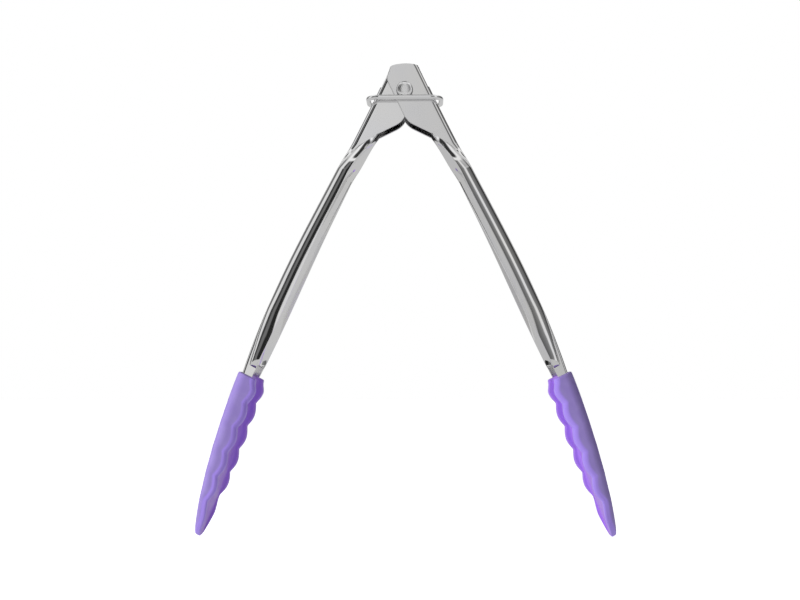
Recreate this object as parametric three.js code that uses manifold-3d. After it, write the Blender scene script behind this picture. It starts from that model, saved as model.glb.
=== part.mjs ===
// Spring loaded kitchen tongs: two stamped steel arms on one rivet, held open by
// a torsion spring, locked by a sliding wire ring, with scalloped silicone tips.
// Millimetres, +Z up. The rivet runs along Y and the arms open in the XZ plane.
//
// Each arm is drawn in its own frame: the origin is on the rivet's axis, "down" is
// the distance along the arm towards its tip (local -Z), and "in" is the distance
// towards the other arm (local +X). The web of the channel is on the outside.

import * as THREE from 'three';
import { mergeVertices } from 'three/addons/utils/BufferGeometryUtils.js';
import Module from 'manifold-3d';

const wasm = await Module();
wasm.setup();

// ---- Driving dimensions -----------------------------------------------------

const GAP = 0.3; // clearance between touching pieces
const OPEN_ANGLE = THREE.MathUtils.degToRad(25.6); // each arm from the vertical, at rest

const SHEET = 1.0; // arm sheet thickness
const HEAD_WIDTH = 13.7; // arm width over the ears
const GRIP_WIDTH = 33.0; // arm width at the top of the grip
const ROOT_WIDTH = 31.6; // arm width where it enters the sleeve
const ARM_LENGTH = 145; // rivet to the top edge of the sleeve
const FLARE_START = 28; // where the arm begins to widen
const FLARE_END = 59; // where it has reached the grip's width
const BACK_AT_PIVOT = -10.5; // outer face of the web, beside the rivet
const BACK_AT_ROOT = -9.5; // outer face of the web, at the sleeve
const BACK_BOW = 1.7; // how far the web bows outwards between the two
const NECK_EDGE = -5.9; // free edge of the flanges above and below the grip
const GRIP_EDGE_DIP = 0.3; // the flanges are this much lower in the grip
const BEND_RADIUS = 1.6; // outer radius of the sharp bends at head and root
const GRIP_RADIUS = 4.8; // outer radius of the rounded grip
const GRIP_CROWN = 0.5; // how far the web crowns outwards in the grip
const GRIP_START = 46; // the grip is rounded from here
const GRIP_END = 128; // to here
const GRIP_BLEND = 18; // length of the change from flat flange to rounded grip

const EAR_TOP = -12.0; // the ear's crest, this far up the arm from the rivet
const EAR_CREST_IN = 1.0; // the crest's place across the arm
const EAR_SHOULDER = -7.4; // where the crest's long slope meets the back
const EAR_NOSE = -8.2; // top of the ear's inner edge
const EAR_INNER = 5.2; // inner edge of the ear
const EAR_KNEE = 13.2; // bottom of the ear's inner edge
const EAR_FOOT = 23.4; // where the slanted edge reaches the flange
const EAR_FOOT_EDGE = -1.8; // height of the flange there
const EAR_CORNER = 1.6; // how far the ear's corners are rounded back
const WEB_TOP = 3.0; // the web is notched away above this

const TIP_LENGTH = 74; // sleeve length along the arm
const TIP_CURL = 12.8; // how far the tip curls inwards
const TIP_CURL_POWER = 1.35;
const TIP_BULGE = 3.4; // the tip is wider than the arm root by this much each side
const TIP_ROUND = 36; // length of the rounded end
const SLEEVE_WALL = 1.3; // silicone over each face of the steel
const SLEEVE_END_THICKNESS = 2.3;
const STEEL_IN_SLEEVE = 42; // steel inside the sleeve
const SLEEVE_LIP = 4.2; // silicone standing past the steel's free edge
const SLEEVE_LIP_TOP = 2.4; // the same at the sleeve's top edge
const LIP_RISE = 5.3; // how far the free edge rises towards the tip's end
const SCALLOP_COUNT = 5;
const SCALLOP_DEPTH = 1.5;

const SHANK_RADIUS = 2.0; // rivet
const DOME_RADIUS = 3.4;
const DOME_HEIGHT = 2.2;
const SPACER_WALL = 0.8; // tube on the rivet, inside the coil

const SPRING_WIRE = 1.7;
const SPRING_TURNS = 3;
const COIL_SPACE = 0.35; // air between the turns
const SPRING_REACH = 36; // how far down the arm each leg presses

const RING_WIRE = 2.1;
const RING_SLACK = 1.6; // air between the ring and the arms, along X
const RING_SIDE_SLACK = 1.1; // air between the ring and the ears, along Y
const RING_CORNER = 5.0; // bend radius of the ring's corners
const RING_DROP = 3.75; // rivet axis to ring, at rest

// ---- Derived dimensions -----------------------------------------------------

const EAR_STAGGER = (SHEET + GAP) / 2; // each arm sits this far off centre
const EAR_OUTER_Y = HEAD_WIDTH / 2 + EAR_STAGGER;
const EAR_INNER_Y = HEAD_WIDTH / 2 - SHEET - EAR_STAGGER;
const HOLE_RADIUS = SHANK_RADIUS + GAP;
const SPACER_RADIUS = HOLE_RADIUS + SPACER_WALL;
const COIL_RADIUS = SPACER_RADIUS + GAP + SPRING_WIRE / 2;
const TIP_END = ARM_LENGTH + TIP_LENGTH;
const STEEL_END = ARM_LENGTH + STEEL_IN_SLEEVE;
const SLEEVE_COVER = SLEEVE_WALL + GAP; // steel face to sleeve face
const OPEN_TOP = 30; // a cutter's open side lies this far in
const TRIM = 1; // the ears are drawn this much too tall, then cut to outline
const SCALLOP_PITCH = (TIP_LENGTH - TIP_ROUND / 2) / SCALLOP_COUNT;

const { degToRad, lerp, smoothstep, clamp } = THREE.MathUtils;

// ---- Arm profile: outer face, free edge, width and bend radius ---------------

/** Outer face of the web at a distance down the arm. */
function webBack(down) {
  if (down > ARM_LENGTH) {
    const along = (down - ARM_LENGTH) / TIP_LENGTH;
    return BACK_AT_ROOT + TIP_CURL * along ** TIP_CURL_POWER;
  }
  const along = clamp(down / ARM_LENGTH, 0, 1);
  return lerp(BACK_AT_PIVOT, BACK_AT_ROOT, along) - BACK_BOW * Math.sin(Math.PI * along);
}

/** Free edge of the flanges below the ear. */
function flangeEdge(down) {
  if (down < EAR_FOOT) {
    const along = (down - EAR_KNEE) / (EAR_FOOT - EAR_KNEE);
    return Math.min(lerp(EAR_INNER, EAR_FOOT_EDGE, along), EAR_INNER) + TRIM;
  }
  const above = clamp((GRIP_START - down) / (GRIP_START - EAR_FOOT), 0, 1);
  const neck = lerp(NECK_EDGE, EAR_FOOT_EDGE, above ** 2);
  const grip = clamp((down - GRIP_START) / (ARM_LENGTH - GRIP_START), 0, 1);
  const rise = down > ARM_LENGTH ? tipRise(down) : 0;
  return neck - GRIP_EDGE_DIP * Math.sin(Math.PI * grip) + rise;
}

/** How much the tip's free edge has risen since the sleeve's top. */
function tipRise(down) {
  const along = (down - ARM_LENGTH) / TIP_LENGTH;
  return LIP_RISE * Math.sin((Math.PI / 2) * clamp(along, 0, 1));
}

/** Half of the width over the flanges. */
function halfWidth(down) {
  const flare = (GRIP_WIDTH - HEAD_WIDTH) * smoothstep(down, FLARE_START, FLARE_END);
  const grip = clamp((down - FLARE_END) / (ARM_LENGTH - FLARE_END), 0, 1);
  const widening = (ROOT_WIDTH - GRIP_WIDTH) * grip;
  const bulge = TIP_BULGE * smoothstep(down, ARM_LENGTH, TIP_END - TIP_ROUND);
  return (HEAD_WIDTH + flare + widening) / 2 + bulge;
}

/** 1 in the rounded grip, 0 at the flat head and root. */
function gripAmount(down) {
  const start = smoothstep(down, GRIP_START - GRIP_BLEND / 2, GRIP_START + GRIP_BLEND / 2);
  return start - smoothstep(down, GRIP_END - GRIP_BLEND / 2, GRIP_END + GRIP_BLEND / 2);
}

/** Free edge of the sleeve, with its scallops. */
function scallopEdge(down) {
  const past = clamp(down - ARM_LENGTH, 0, SCALLOP_COUNT * SCALLOP_PITCH);
  const valley = 1 - Math.abs(Math.sin((Math.PI * past) / SCALLOP_PITCH));
  const start = smoothstep(past, 0, SCALLOP_PITCH / 2);
  const lip = lerp(SLEEVE_LIP_TOP, SLEEVE_LIP, start);
  const end = 1 - smoothstep(down, TIP_END - TIP_ROUND / 2, TIP_END - TIP_ROUND / 4);
  return flangeEdge(down) + lip - SCALLOP_DEPTH * valley * start * end;
}

// ---- Geometry helpers ----------------------------------------------------------

/** A closed surface, turned face out, as a solid that can be cut and joined. */
function toSolid(points, triangles) {
  let volume = 0;
  for (const [a, b, c] of triangles) {
    const across = new THREE.Vector3().crossVectors(points[b], points[c]);
    volume += points[a].dot(across);
  }
  const faces = volume < 0 ? triangles.map(([a, b, c]) => [a, c, b]) : triangles;
  const geometry = new THREE.BufferGeometry().setFromPoints(points);
  geometry.setIndex(faces.flat());
  return fromGeometry(geometry);
}

/** A three.js geometry as a solid. */
function fromGeometry(source) {
  const geometry = source.clone();
  geometry.deleteAttribute('normal');
  geometry.deleteAttribute('uv');
  const merged = mergeVertices(geometry, 1e-4);
  return new wasm.Manifold(new wasm.Mesh({
    numProp: 3,
    vertProperties: new Float32Array(merged.getAttribute('position').array),
    triVerts: new Uint32Array(merged.getIndex().array),
  }));
}

/** A solid as a three.js geometry. */
function toGeometry(solid) {
  const mesh = solid.getMesh();
  const geometry = new THREE.BufferGeometry();
  geometry.setAttribute('position', new THREE.BufferAttribute(mesh.vertProperties, 3));
  geometry.setIndex(new THREE.BufferAttribute(mesh.triVerts, 1));
  geometry.computeVertexNormals();
  return geometry;
}

/** Distances from one place to another in steps of about the given size. */
function stations(from, to, step) {
  const count = Math.max(1, Math.round((to - from) / step));
  return Array.from({ length: count + 1 }, (_, i) => lerp(from, to, i / count));
}

/** A U-shaped section with a straight open side, as (y, in) points. */
function channelSection({ half, back, edge, radius, crown = 0 }) {
  const webPoints = 2;
  const bendPoints = 4;
  const bend = Math.max(0.2, Math.min(radius, half * 0.9, (edge - back) * 0.9));
  const side = [];
  for (let i = 0; i < webPoints; i += 1) {
    const along = i / webPoints;
    const y = (half - bend) * along;
    side.push([y, back - (crown * (1 + Math.cos(Math.PI * along))) / 2]);
  }
  for (let i = 0; i <= bendPoints; i += 1) {
    const turn = (Math.PI / 2) * (i / bendPoints);
    side.push([half - bend * (1 - Math.sin(turn)), back + bend * (1 - Math.cos(turn))]);
  }
  side.push([half, edge]);
  const mirrored = side.slice(1).reverse().map(([y, inward]) => [-y, inward]);
  return [...mirrored, ...side];
}

/** A solid through channel sections: profile(down) gives each section. */
function loftChannel(downs, profile) {
  const rings = downs.map((down) => channelSection(profile(down)).map(
    ([y, inward]) => new THREE.Vector3(inward, y, -down),
  ));
  const size = rings[0].length;
  const triangles = [];
  for (let i = 0; i + 1 < rings.length; i += 1) {
    for (let j = 0; j < size; j += 1) {
      const a = i * size + j;
      const b = i * size + ((j + 1) % size);
      triangles.push([a, b, b + size], [a, b + size, a + size]);
    }
  }
  const last = (rings.length - 1) * size;
  const capOf = (ring) => THREE.ShapeUtils.triangulateShape(
    ring.map((point) => new THREE.Vector2(point.y, point.x)), [],
  );
  const clockwise = (ring) => THREE.ShapeUtils.area(
    ring.map((point) => new THREE.Vector2(point.y, point.x)),
  ) < 0;
  for (const [a, b, c] of capOf(rings[0])) {
    triangles.push(clockwise(rings[0]) ? [a, b, c] : [a, c, b]);
  }
  for (const [a, b, c] of capOf(rings.at(-1))) {
    triangles.push(clockwise(rings.at(-1))
      ? [last + a, last + c, last + b]
      : [last + a, last + b, last + c]);
  }
  return toSolid(rings.flat(), triangles);
}

/** A cylinder along Y. */
function rodAlongY(radius, length, sides = 24) {
  return fromGeometry(new THREE.CylinderGeometry(radius, radius, length, sides));
}

/** A closed tube of round wire along a flat closed path in the XY plane. */
function closedWire(path, wireRadius, sides) {
  const count = path.length;
  const points = [];
  for (let i = 0; i < count; i += 1) {
    const ahead = path[(i + 1) % count].clone().sub(path[(i + count - 1) % count]).normalize();
    const outward = new THREE.Vector3(ahead.y, -ahead.x, 0);
    for (let j = 0; j < sides; j += 1) {
      const turn = (2 * Math.PI * j) / sides;
      points.push(new THREE.Vector3(path[i].x, path[i].y, 0)
        .addScaledVector(outward, wireRadius * Math.cos(turn))
        .add(new THREE.Vector3(0, 0, wireRadius * Math.sin(turn))));
    }
  }
  const triangles = [];
  for (let i = 0; i < count; i += 1) {
    for (let j = 0; j < sides; j += 1) {
      const a = i * sides + j;
      const b = i * sides + ((j + 1) % sides);
      const c = ((i + 1) % count) * sides + j;
      const d = ((i + 1) % count) * sides + ((j + 1) % sides);
      triangles.push([a, b, d], [a, d, c]);
    }
  }
  return toSolid(points, triangles);
}

// ---- Arm ---------------------------------------------------------------------------

/** The channel's surface, moved out by grow on every side; past the free edge too. */
function channelShell(downs, grow) {
  const outside = loftChannel(downs, (down) => ({
    half: halfWidth(down) + grow,
    back: webBack(down) - grow,
    edge: flangeEdge(down) + grow,
    radius: lerp(BEND_RADIUS, GRIP_RADIUS, gripAmount(down)) + grow,
    crown: GRIP_CROWN * gripAmount(down),
  }));
  const inset = SHEET + grow;
  const longer = [downs[0] - 1, ...downs.slice(1, -1), downs.at(-1) + 1];
  const inside = loftChannel(longer, (down) => ({
    half: halfWidth(down) - inset,
    back: webBack(down) + inset,
    edge: OPEN_TOP,
    radius: lerp(BEND_RADIUS, GRIP_RADIUS, gripAmount(down)) - inset,
    crown: GRIP_CROWN * gripAmount(down),
  }));
  return outside.subtract(inside);
}

/** A closed outline through corners given as [x, z, how far the corner is rounded back]. */
function roundedOutline(corners) {
  const outline = new THREE.Shape();
  corners.forEach(([x, z, round], i) => {
    const corner = new THREE.Vector2(x, z);
    const before = new THREE.Vector2(...corners.at(i - 1));
    const after = new THREE.Vector2(...corners[(i + 1) % corners.length]);
    const enter = corner.clone().add(before.sub(corner).setLength(round));
    const leave = corner.clone().add(after.sub(corner).setLength(round));
    if (i === 0) outline.moveTo(enter.x, enter.y);
    else outline.lineTo(enter.x, enter.y);
    if (round > 0) outline.quadraticCurveTo(x, z, leave.x, leave.y);
  });
  outline.closePath();
  return outline;
}

/** A block with the ear's side outline; everything below the foot is left whole. */
function earBlock() {
  const slope = (EAR_TOP - EAR_SHOULDER) / (EAR_CREST_IN - BACK_AT_PIVOT);
  const outline = roundedOutline([
    [-OPEN_TOP, -(EAR_TOP - slope * (EAR_CREST_IN + OPEN_TOP)), 0],
    [EAR_CREST_IN, -EAR_TOP, EAR_CORNER],
    [EAR_INNER, -EAR_NOSE, EAR_CORNER],
    [EAR_INNER, -EAR_KNEE, 2 * EAR_CORNER],
    [EAR_FOOT_EDGE, -EAR_FOOT, 0],
    [OPEN_TOP, -EAR_FOOT, 0],
    [OPEN_TOP, -STEEL_END - OPEN_TOP, 0],
    [-OPEN_TOP, -STEEL_END - OPEN_TOP, 0],
  ]);
  const depth = 2 * ROOT_WIDTH;
  const slab = new THREE.ExtrudeGeometry(outline, { depth, bevelEnabled: false, curveSegments: 4 });
  slab.rotateX(Math.PI / 2);
  slab.translate(0, depth / 2, 0);
  return fromGeometry(slab);
}

/** The notch that removes the web between the ears. */
function webNotch() {
  const width = HEAD_WIDTH - 2 * SHEET;
  const box = new THREE.BoxGeometry(OPEN_TOP, width, OPEN_TOP);
  box.translate(-OPEN_TOP / 2 + BACK_AT_PIVOT + BEND_RADIUS, 0, OPEN_TOP / 2 - WEB_TOP);
  return fromGeometry(box);
}

/** Places along the arm where its section is drawn. */
function armStations() {
  const blend = GRIP_BLEND / 2;
  return [
    EAR_TOP - TRIM,
    0,
    EAR_KNEE,
    EAR_FOOT - TRIM,
    ...stations(EAR_FOOT, FLARE_START, 5),
    ...stations(FLARE_START, FLARE_END, 4.5).slice(1),
    ...stations(FLARE_END, GRIP_END - blend, 10).slice(1),
    ...stations(GRIP_END - blend, GRIP_END + blend, 4.5).slice(1),
    ...stations(GRIP_END + blend, ARM_LENGTH, 8).slice(1),
    ...steelStations().slice(1),
  ];
}

/** The same inside the sleeve. */
function steelStations() {
  return stations(ARM_LENGTH, STEEL_END, 7);
}

/** One stamped arm. */
function armGeometry() {
  const arm = channelShell(armStations(), 0)
    .intersect(earBlock())
    .subtract(webNotch())
    .subtract(rodAlongY(HOLE_RADIUS, 2 * HEAD_WIDTH));
  return toGeometry(arm);
}

// ---- Sleeve ------------------------------------------------------------------------

/** Places along the sleeve: four to a scallop, and close together round the end. */
function sleeveStations() {
  const scallops = stations(ARM_LENGTH, TIP_END - TIP_ROUND / 2, SCALLOP_PITCH / 4);
  const turns = stations(degToRad(30), degToRad(80), degToRad(7)).slice(1);
  return [...scallops, ...turns.map((turn) => TIP_END - TIP_ROUND * (1 - Math.sin(turn)))];
}

/** 1 along the sleeve, falling to 0 as an ellipse at its end. */
function endRound(down) {
  const along = clamp((down - (TIP_END - TIP_ROUND)) / TIP_ROUND, 0, 1);
  return Math.sqrt(1 - along ** 2);
}

/** The silicone sleeve: outer body, less the scoop and the steel's pocket. */
function sleeveGeometry() {
  const downs = sleeveStations();
  const body = loftChannel(downs, (down) => ({
    half: (halfWidth(down) + SLEEVE_COVER) * endRound(down),
    back: webBack(down) - SLEEVE_COVER,
    edge: Math.max(scallopEdge(down), webBack(down) - SLEEVE_COVER + SLEEVE_END_THICKNESS),
    radius: BEND_RADIUS + SLEEVE_COVER,
  }));
  const thickness = (down) => lerp(
    SHEET + 2 * SLEEVE_COVER,
    SLEEVE_END_THICKNESS,
    smoothstep(down, STEEL_END, TIP_END),
  );
  const scoop = loftChannel([ARM_LENGTH - 1, ...downs.slice(1, -2)], (down) => ({
    half: (halfWidth(down) + SLEEVE_COVER) * endRound(down) - thickness(down),
    back: webBack(down) - SLEEVE_COVER + thickness(down),
    edge: OPEN_TOP,
    radius: BEND_RADIUS,
  }));
  const steelDowns = steelStations();
  const pocket = channelShell([ARM_LENGTH - 2, ...steelDowns.slice(0, -1), STEEL_END + GAP], GAP);
  return toGeometry(body.subtract(scoop).subtract(pocket));
}

// ---- Pivot -------------------------------------------------------------------------

/** The rivet: a shank with a domed head at each end. */
function rivetGeometry() {
  const seat = EAR_OUTER_Y + GAP;
  const profile = [new THREE.Vector2(0, -seat - DOME_HEIGHT)];
  const domeSteps = 4;
  for (let i = 1; i <= domeSteps; i += 1) {
    const turn = (Math.PI / 2) * (i / domeSteps);
    profile.push(new THREE.Vector2(
      DOME_RADIUS * Math.sin(turn), -seat - DOME_HEIGHT * Math.cos(turn),
    ));
  }
  profile.push(new THREE.Vector2(SHANK_RADIUS, -seat));
  const mirrored = profile.map((point) => new THREE.Vector2(point.x, -point.y)).reverse();
  return new THREE.LatheGeometry([...profile, ...mirrored], 20);
}

/** The tube that keeps the ears apart and carries the coil. */
function spacerGeometry() {
  const half = EAR_INNER_Y - GAP;
  const profile = [
    [HOLE_RADIUS, -half],
    [SPACER_RADIUS, -half],
    [SPACER_RADIUS, half],
    [HOLE_RADIUS, half],
    [HOLE_RADIUS, -half],
  ].map(([radius, y]) => new THREE.Vector2(radius, y));
  return new THREE.LatheGeometry(profile, 20);
}

/** A point of the left arm's frame as a point of the object's frame, pivot at zero. */
function onLeftArm(down, inward) {
  return new THREE.Vector2(
    inward * Math.cos(OPEN_ANGLE) - down * Math.sin(OPEN_ANGLE),
    -inward * Math.sin(OPEN_ANGLE) - down * Math.cos(OPEN_ANGLE),
  );
}

/** The torsion spring: a coil round the spacer, with a straight leg to each arm. */
function springGeometry() {
  const press = webBack(SPRING_REACH) + SHEET + GAP + SPRING_WIRE / 2;
  const foot = onLeftArm(SPRING_REACH, press);
  const toFoot = Math.atan2(foot.y, foot.x);
  const start = toFoot - Math.acos(COIL_RADIUS / foot.length()) + 2 * Math.PI;
  const sweep = 2 * start - Math.PI + 2 * Math.PI * SPRING_TURNS;
  const rise = ((SPRING_WIRE + COIL_SPACE) * sweep) / (2 * Math.PI);
  const coilSteps = Math.round(sweep / degToRad(24));
  const points = [];
  for (let i = 0; i <= coilSteps; i += 1) {
    const angle = start - sweep * (i / coilSteps);
    points.push(new THREE.Vector3(
      COIL_RADIUS * Math.cos(angle),
      rise * (i / coilSteps - 0.5),
      COIL_RADIUS * Math.sin(angle),
    ));
  }
  const legs = [-1, 1].map((side) => new THREE.Vector3(side * -foot.x, side * rise * 0.5, foot.y));
  const legPoints = (from, to) => [0.3, 0.6, 0.9, 1].map((f) => from.clone().lerp(to, f));
  const path = new THREE.CatmullRomCurve3([
    ...legPoints(points[0], legs[0]).reverse(),
    ...points,
    ...legPoints(points.at(-1), legs[1]),
  ], false, 'centripetal');
  const section = new THREE.Shape();
  section.absarc(0, 0, SPRING_WIRE / 2, 0, 2 * Math.PI);
  return new THREE.ExtrudeGeometry(section, { steps: 72, extrudePath: path, curveSegments: 4 });
}

// ---- Lock ring -----------------------------------------------------------------------

/** Half of the arms' width across X at a height below the pivot. */
function armsReach(drop) {
  const down = (drop - BACK_AT_PIVOT * Math.sin(OPEN_ANGLE)) / Math.cos(OPEN_ANGLE);
  return -onLeftArm(down, webBack(down)).x;
}

/** The lock ring: one closed loop of wire with four round corners. */
function ringGeometry() {
  const halfX = armsReach(RING_DROP) + RING_SLACK + RING_WIRE / 2;
  const halfY = EAR_OUTER_Y + RING_SIDE_SLACK + RING_WIRE / 2;
  const straightX = halfX - RING_CORNER;
  const straightY = halfY - RING_CORNER;
  const cornerSteps = 5;
  const path = [];
  for (let corner = 0; corner < 4; corner += 1) {
    const signX = corner === 0 || corner === 3 ? 1 : -1;
    const signY = corner < 2 ? 1 : -1;
    for (let i = 0; i <= cornerSteps; i += 1) {
      const turn = (Math.PI / 2) * (corner + i / cornerSteps);
      path.push(new THREE.Vector2(
        signX * straightX + RING_CORNER * Math.cos(turn),
        signY * straightY + RING_CORNER * Math.sin(turn),
      ));
    }
  }
  return toGeometry(closedWire(path, RING_WIRE / 2, 10));
}

// ---- Assembly ------------------------------------------------------------------------

const steel = () => new THREE.MeshStandardMaterial({ color: 0xc9cacc, roughness: 0.22, metalness: 1 });
const wire = () => new THREE.MeshStandardMaterial({ color: 0xbfc0c3, roughness: 0.2, metalness: 1 });
const spring = () => new THREE.MeshStandardMaterial({ color: 0x9a9b9e, roughness: 0.35, metalness: 1 });
const silicone = () => new THREE.MeshStandardMaterial({ color: 0x8f78c4, roughness: 0.5, metalness: 0 });

function piece(name, geometry, material) {
  const mesh = new THREE.Mesh(geometry, material);
  mesh.name = name;
  return mesh;
}

/** One arm with its sleeve, turned to its open position. side is -1 left, +1 right. */
function armAssembly(name, side) {
  const assembly = new THREE.Group();
  assembly.add(piece(`${name}_arm`, armGeometry(), steel()));
  assembly.add(piece(`${name}_tip`, sleeveGeometry(), silicone()));
  const turned = new THREE.Group();
  turned.rotation.y = -side * OPEN_ANGLE;
  turned.position.y = -side * EAR_STAGGER;
  assembly.rotation.z = side > 0 ? Math.PI : 0;
  turned.add(assembly);
  return turned;
}

/** Everything that stays with the rivet. */
function pivotAssembly() {
  const pivot = new THREE.Group();
  pivot.add(piece('pivot_rivet', rivetGeometry(), steel()));
  pivot.add(piece('spacer_tube', spacerGeometry(), steel()));
  pivot.add(piece('torsion_spring', springGeometry(), spring()));
  return pivot;
}

const lockRing = piece('lock_ring', ringGeometry(), wire());
lockRing.position.z = -RING_DROP;

const group = new THREE.Group();
group.add(armAssembly('left', -1), armAssembly('right', 1), pivotAssembly(), lockRing);

// The tongs stand on their tips: the lowest point is at zero height.
group.updateMatrixWorld(true);
group.position.z = -new THREE.Box3().setFromObject(group, true).min.z;

export default group;
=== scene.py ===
"""Spring loaded kitchen tongs: polished steel arms, wire lock ring and silicone tips.

Sizes are millimetres in the classes and metres in the meshes. An arm is drawn in its
own frame: "down" runs from the rivet to the tip, "inward" points at the other arm and
"across" is the width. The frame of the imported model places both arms.
"""

from __future__ import annotations

import logging
import math
from dataclasses import dataclass, field
from enum import Enum
from typing import Sequence

import bmesh
import bpy
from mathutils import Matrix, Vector
from mathutils.geometry import delaunay_2d_cdt


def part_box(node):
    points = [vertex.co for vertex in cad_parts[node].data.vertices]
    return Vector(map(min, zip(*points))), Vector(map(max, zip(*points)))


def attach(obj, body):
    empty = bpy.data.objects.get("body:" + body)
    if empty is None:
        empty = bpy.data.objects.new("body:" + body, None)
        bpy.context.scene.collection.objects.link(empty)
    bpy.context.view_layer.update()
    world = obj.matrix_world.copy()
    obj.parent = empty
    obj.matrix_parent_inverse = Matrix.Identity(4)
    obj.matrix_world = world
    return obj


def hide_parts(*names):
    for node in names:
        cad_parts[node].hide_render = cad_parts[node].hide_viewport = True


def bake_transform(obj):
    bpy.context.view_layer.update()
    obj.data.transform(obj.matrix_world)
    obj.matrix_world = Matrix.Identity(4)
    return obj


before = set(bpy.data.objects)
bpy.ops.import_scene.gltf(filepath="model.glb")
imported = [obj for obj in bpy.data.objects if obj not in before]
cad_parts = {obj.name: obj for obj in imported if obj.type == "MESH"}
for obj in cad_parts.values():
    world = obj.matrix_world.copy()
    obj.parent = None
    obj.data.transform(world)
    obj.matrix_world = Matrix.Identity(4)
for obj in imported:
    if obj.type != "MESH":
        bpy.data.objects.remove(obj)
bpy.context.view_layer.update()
LOG = logging.getLogger("tongs")
MM = 0.001
Colour = tuple[float, float, float]


class Side(Enum):
    """Which arm of the pair, by the sign of its place along X."""

    LEFT = -1
    RIGHT = 1


class Slot(Enum):
    """Names of the four finishes; the pieces built here don't use them."""

    ARM_STEEL = "arm_steel"
    WIRE_STEEL = "wire_steel"
    SPRING_STEEL = "spring_steel"
    SILICONE = "silicone"


# ---- Small helpers ------------------------------------------------------------------


def lerp(low: float, high: float, share: float) -> float:
    """Return the value that lies share of the way from low to high."""
    return low + (high - low) * share


def clamp(value: float, low: float = 0.0, high: float = 1.0) -> float:
    """Return value held between low and high."""
    return min(max(value, low), high)


def smoothstep(value: float, low: float, high: float) -> float:
    """Return 0 below low, 1 above high and a smooth rise between them."""
    share = clamp((value - low) / (high - low))
    return share * share * (3 - 2 * share)


def spread(start: float, stop: float, step: float) -> list[float]:
    """Return evenly spaced values from start to stop, about step apart."""
    count = max(1, round(abs(stop - start) / step))
    return [lerp(start, stop, i / count) for i in range(count + 1)]


@dataclass
class ClosedShape:
    """A closed mesh in the making, with a normal for each point where they are known.

    Attributes:
        points: Places of the vertices.
        faces: Vertex numbers of each face, turned so that the face looks outwards.
        normals: Outward directions at the points, or an empty list.
    """

    points: list[Vector] = field(default_factory=list)
    faces: list[tuple[int, ...]] = field(default_factory=list)
    normals: list[Vector] = field(default_factory=list)

    def to_object(self, name: str, material: bpy.types.Material) -> bpy.types.Object:
        """Make the shape an object with its place in its mesh.

        Args:
            name: Name of the new object.
            material: Finish of the whole piece.

        Returns:
            The linked object, smooth shaded.
        """
        mesh = bpy.data.meshes.new(name)
        mesh.from_pydata([p[:] for p in self.points], [], self.faces)
        mesh.validate()
        mesh.materials.append(material)
        mesh.shade_smooth()
        if self.normals and len(mesh.vertices) == len(self.normals):
            mesh.normals_split_custom_set_from_vertices([n[:] for n in self.normals])
        piece = bpy.data.objects.new(name, mesh)
        bpy.context.collection.objects.link(piece)
        return piece


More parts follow.
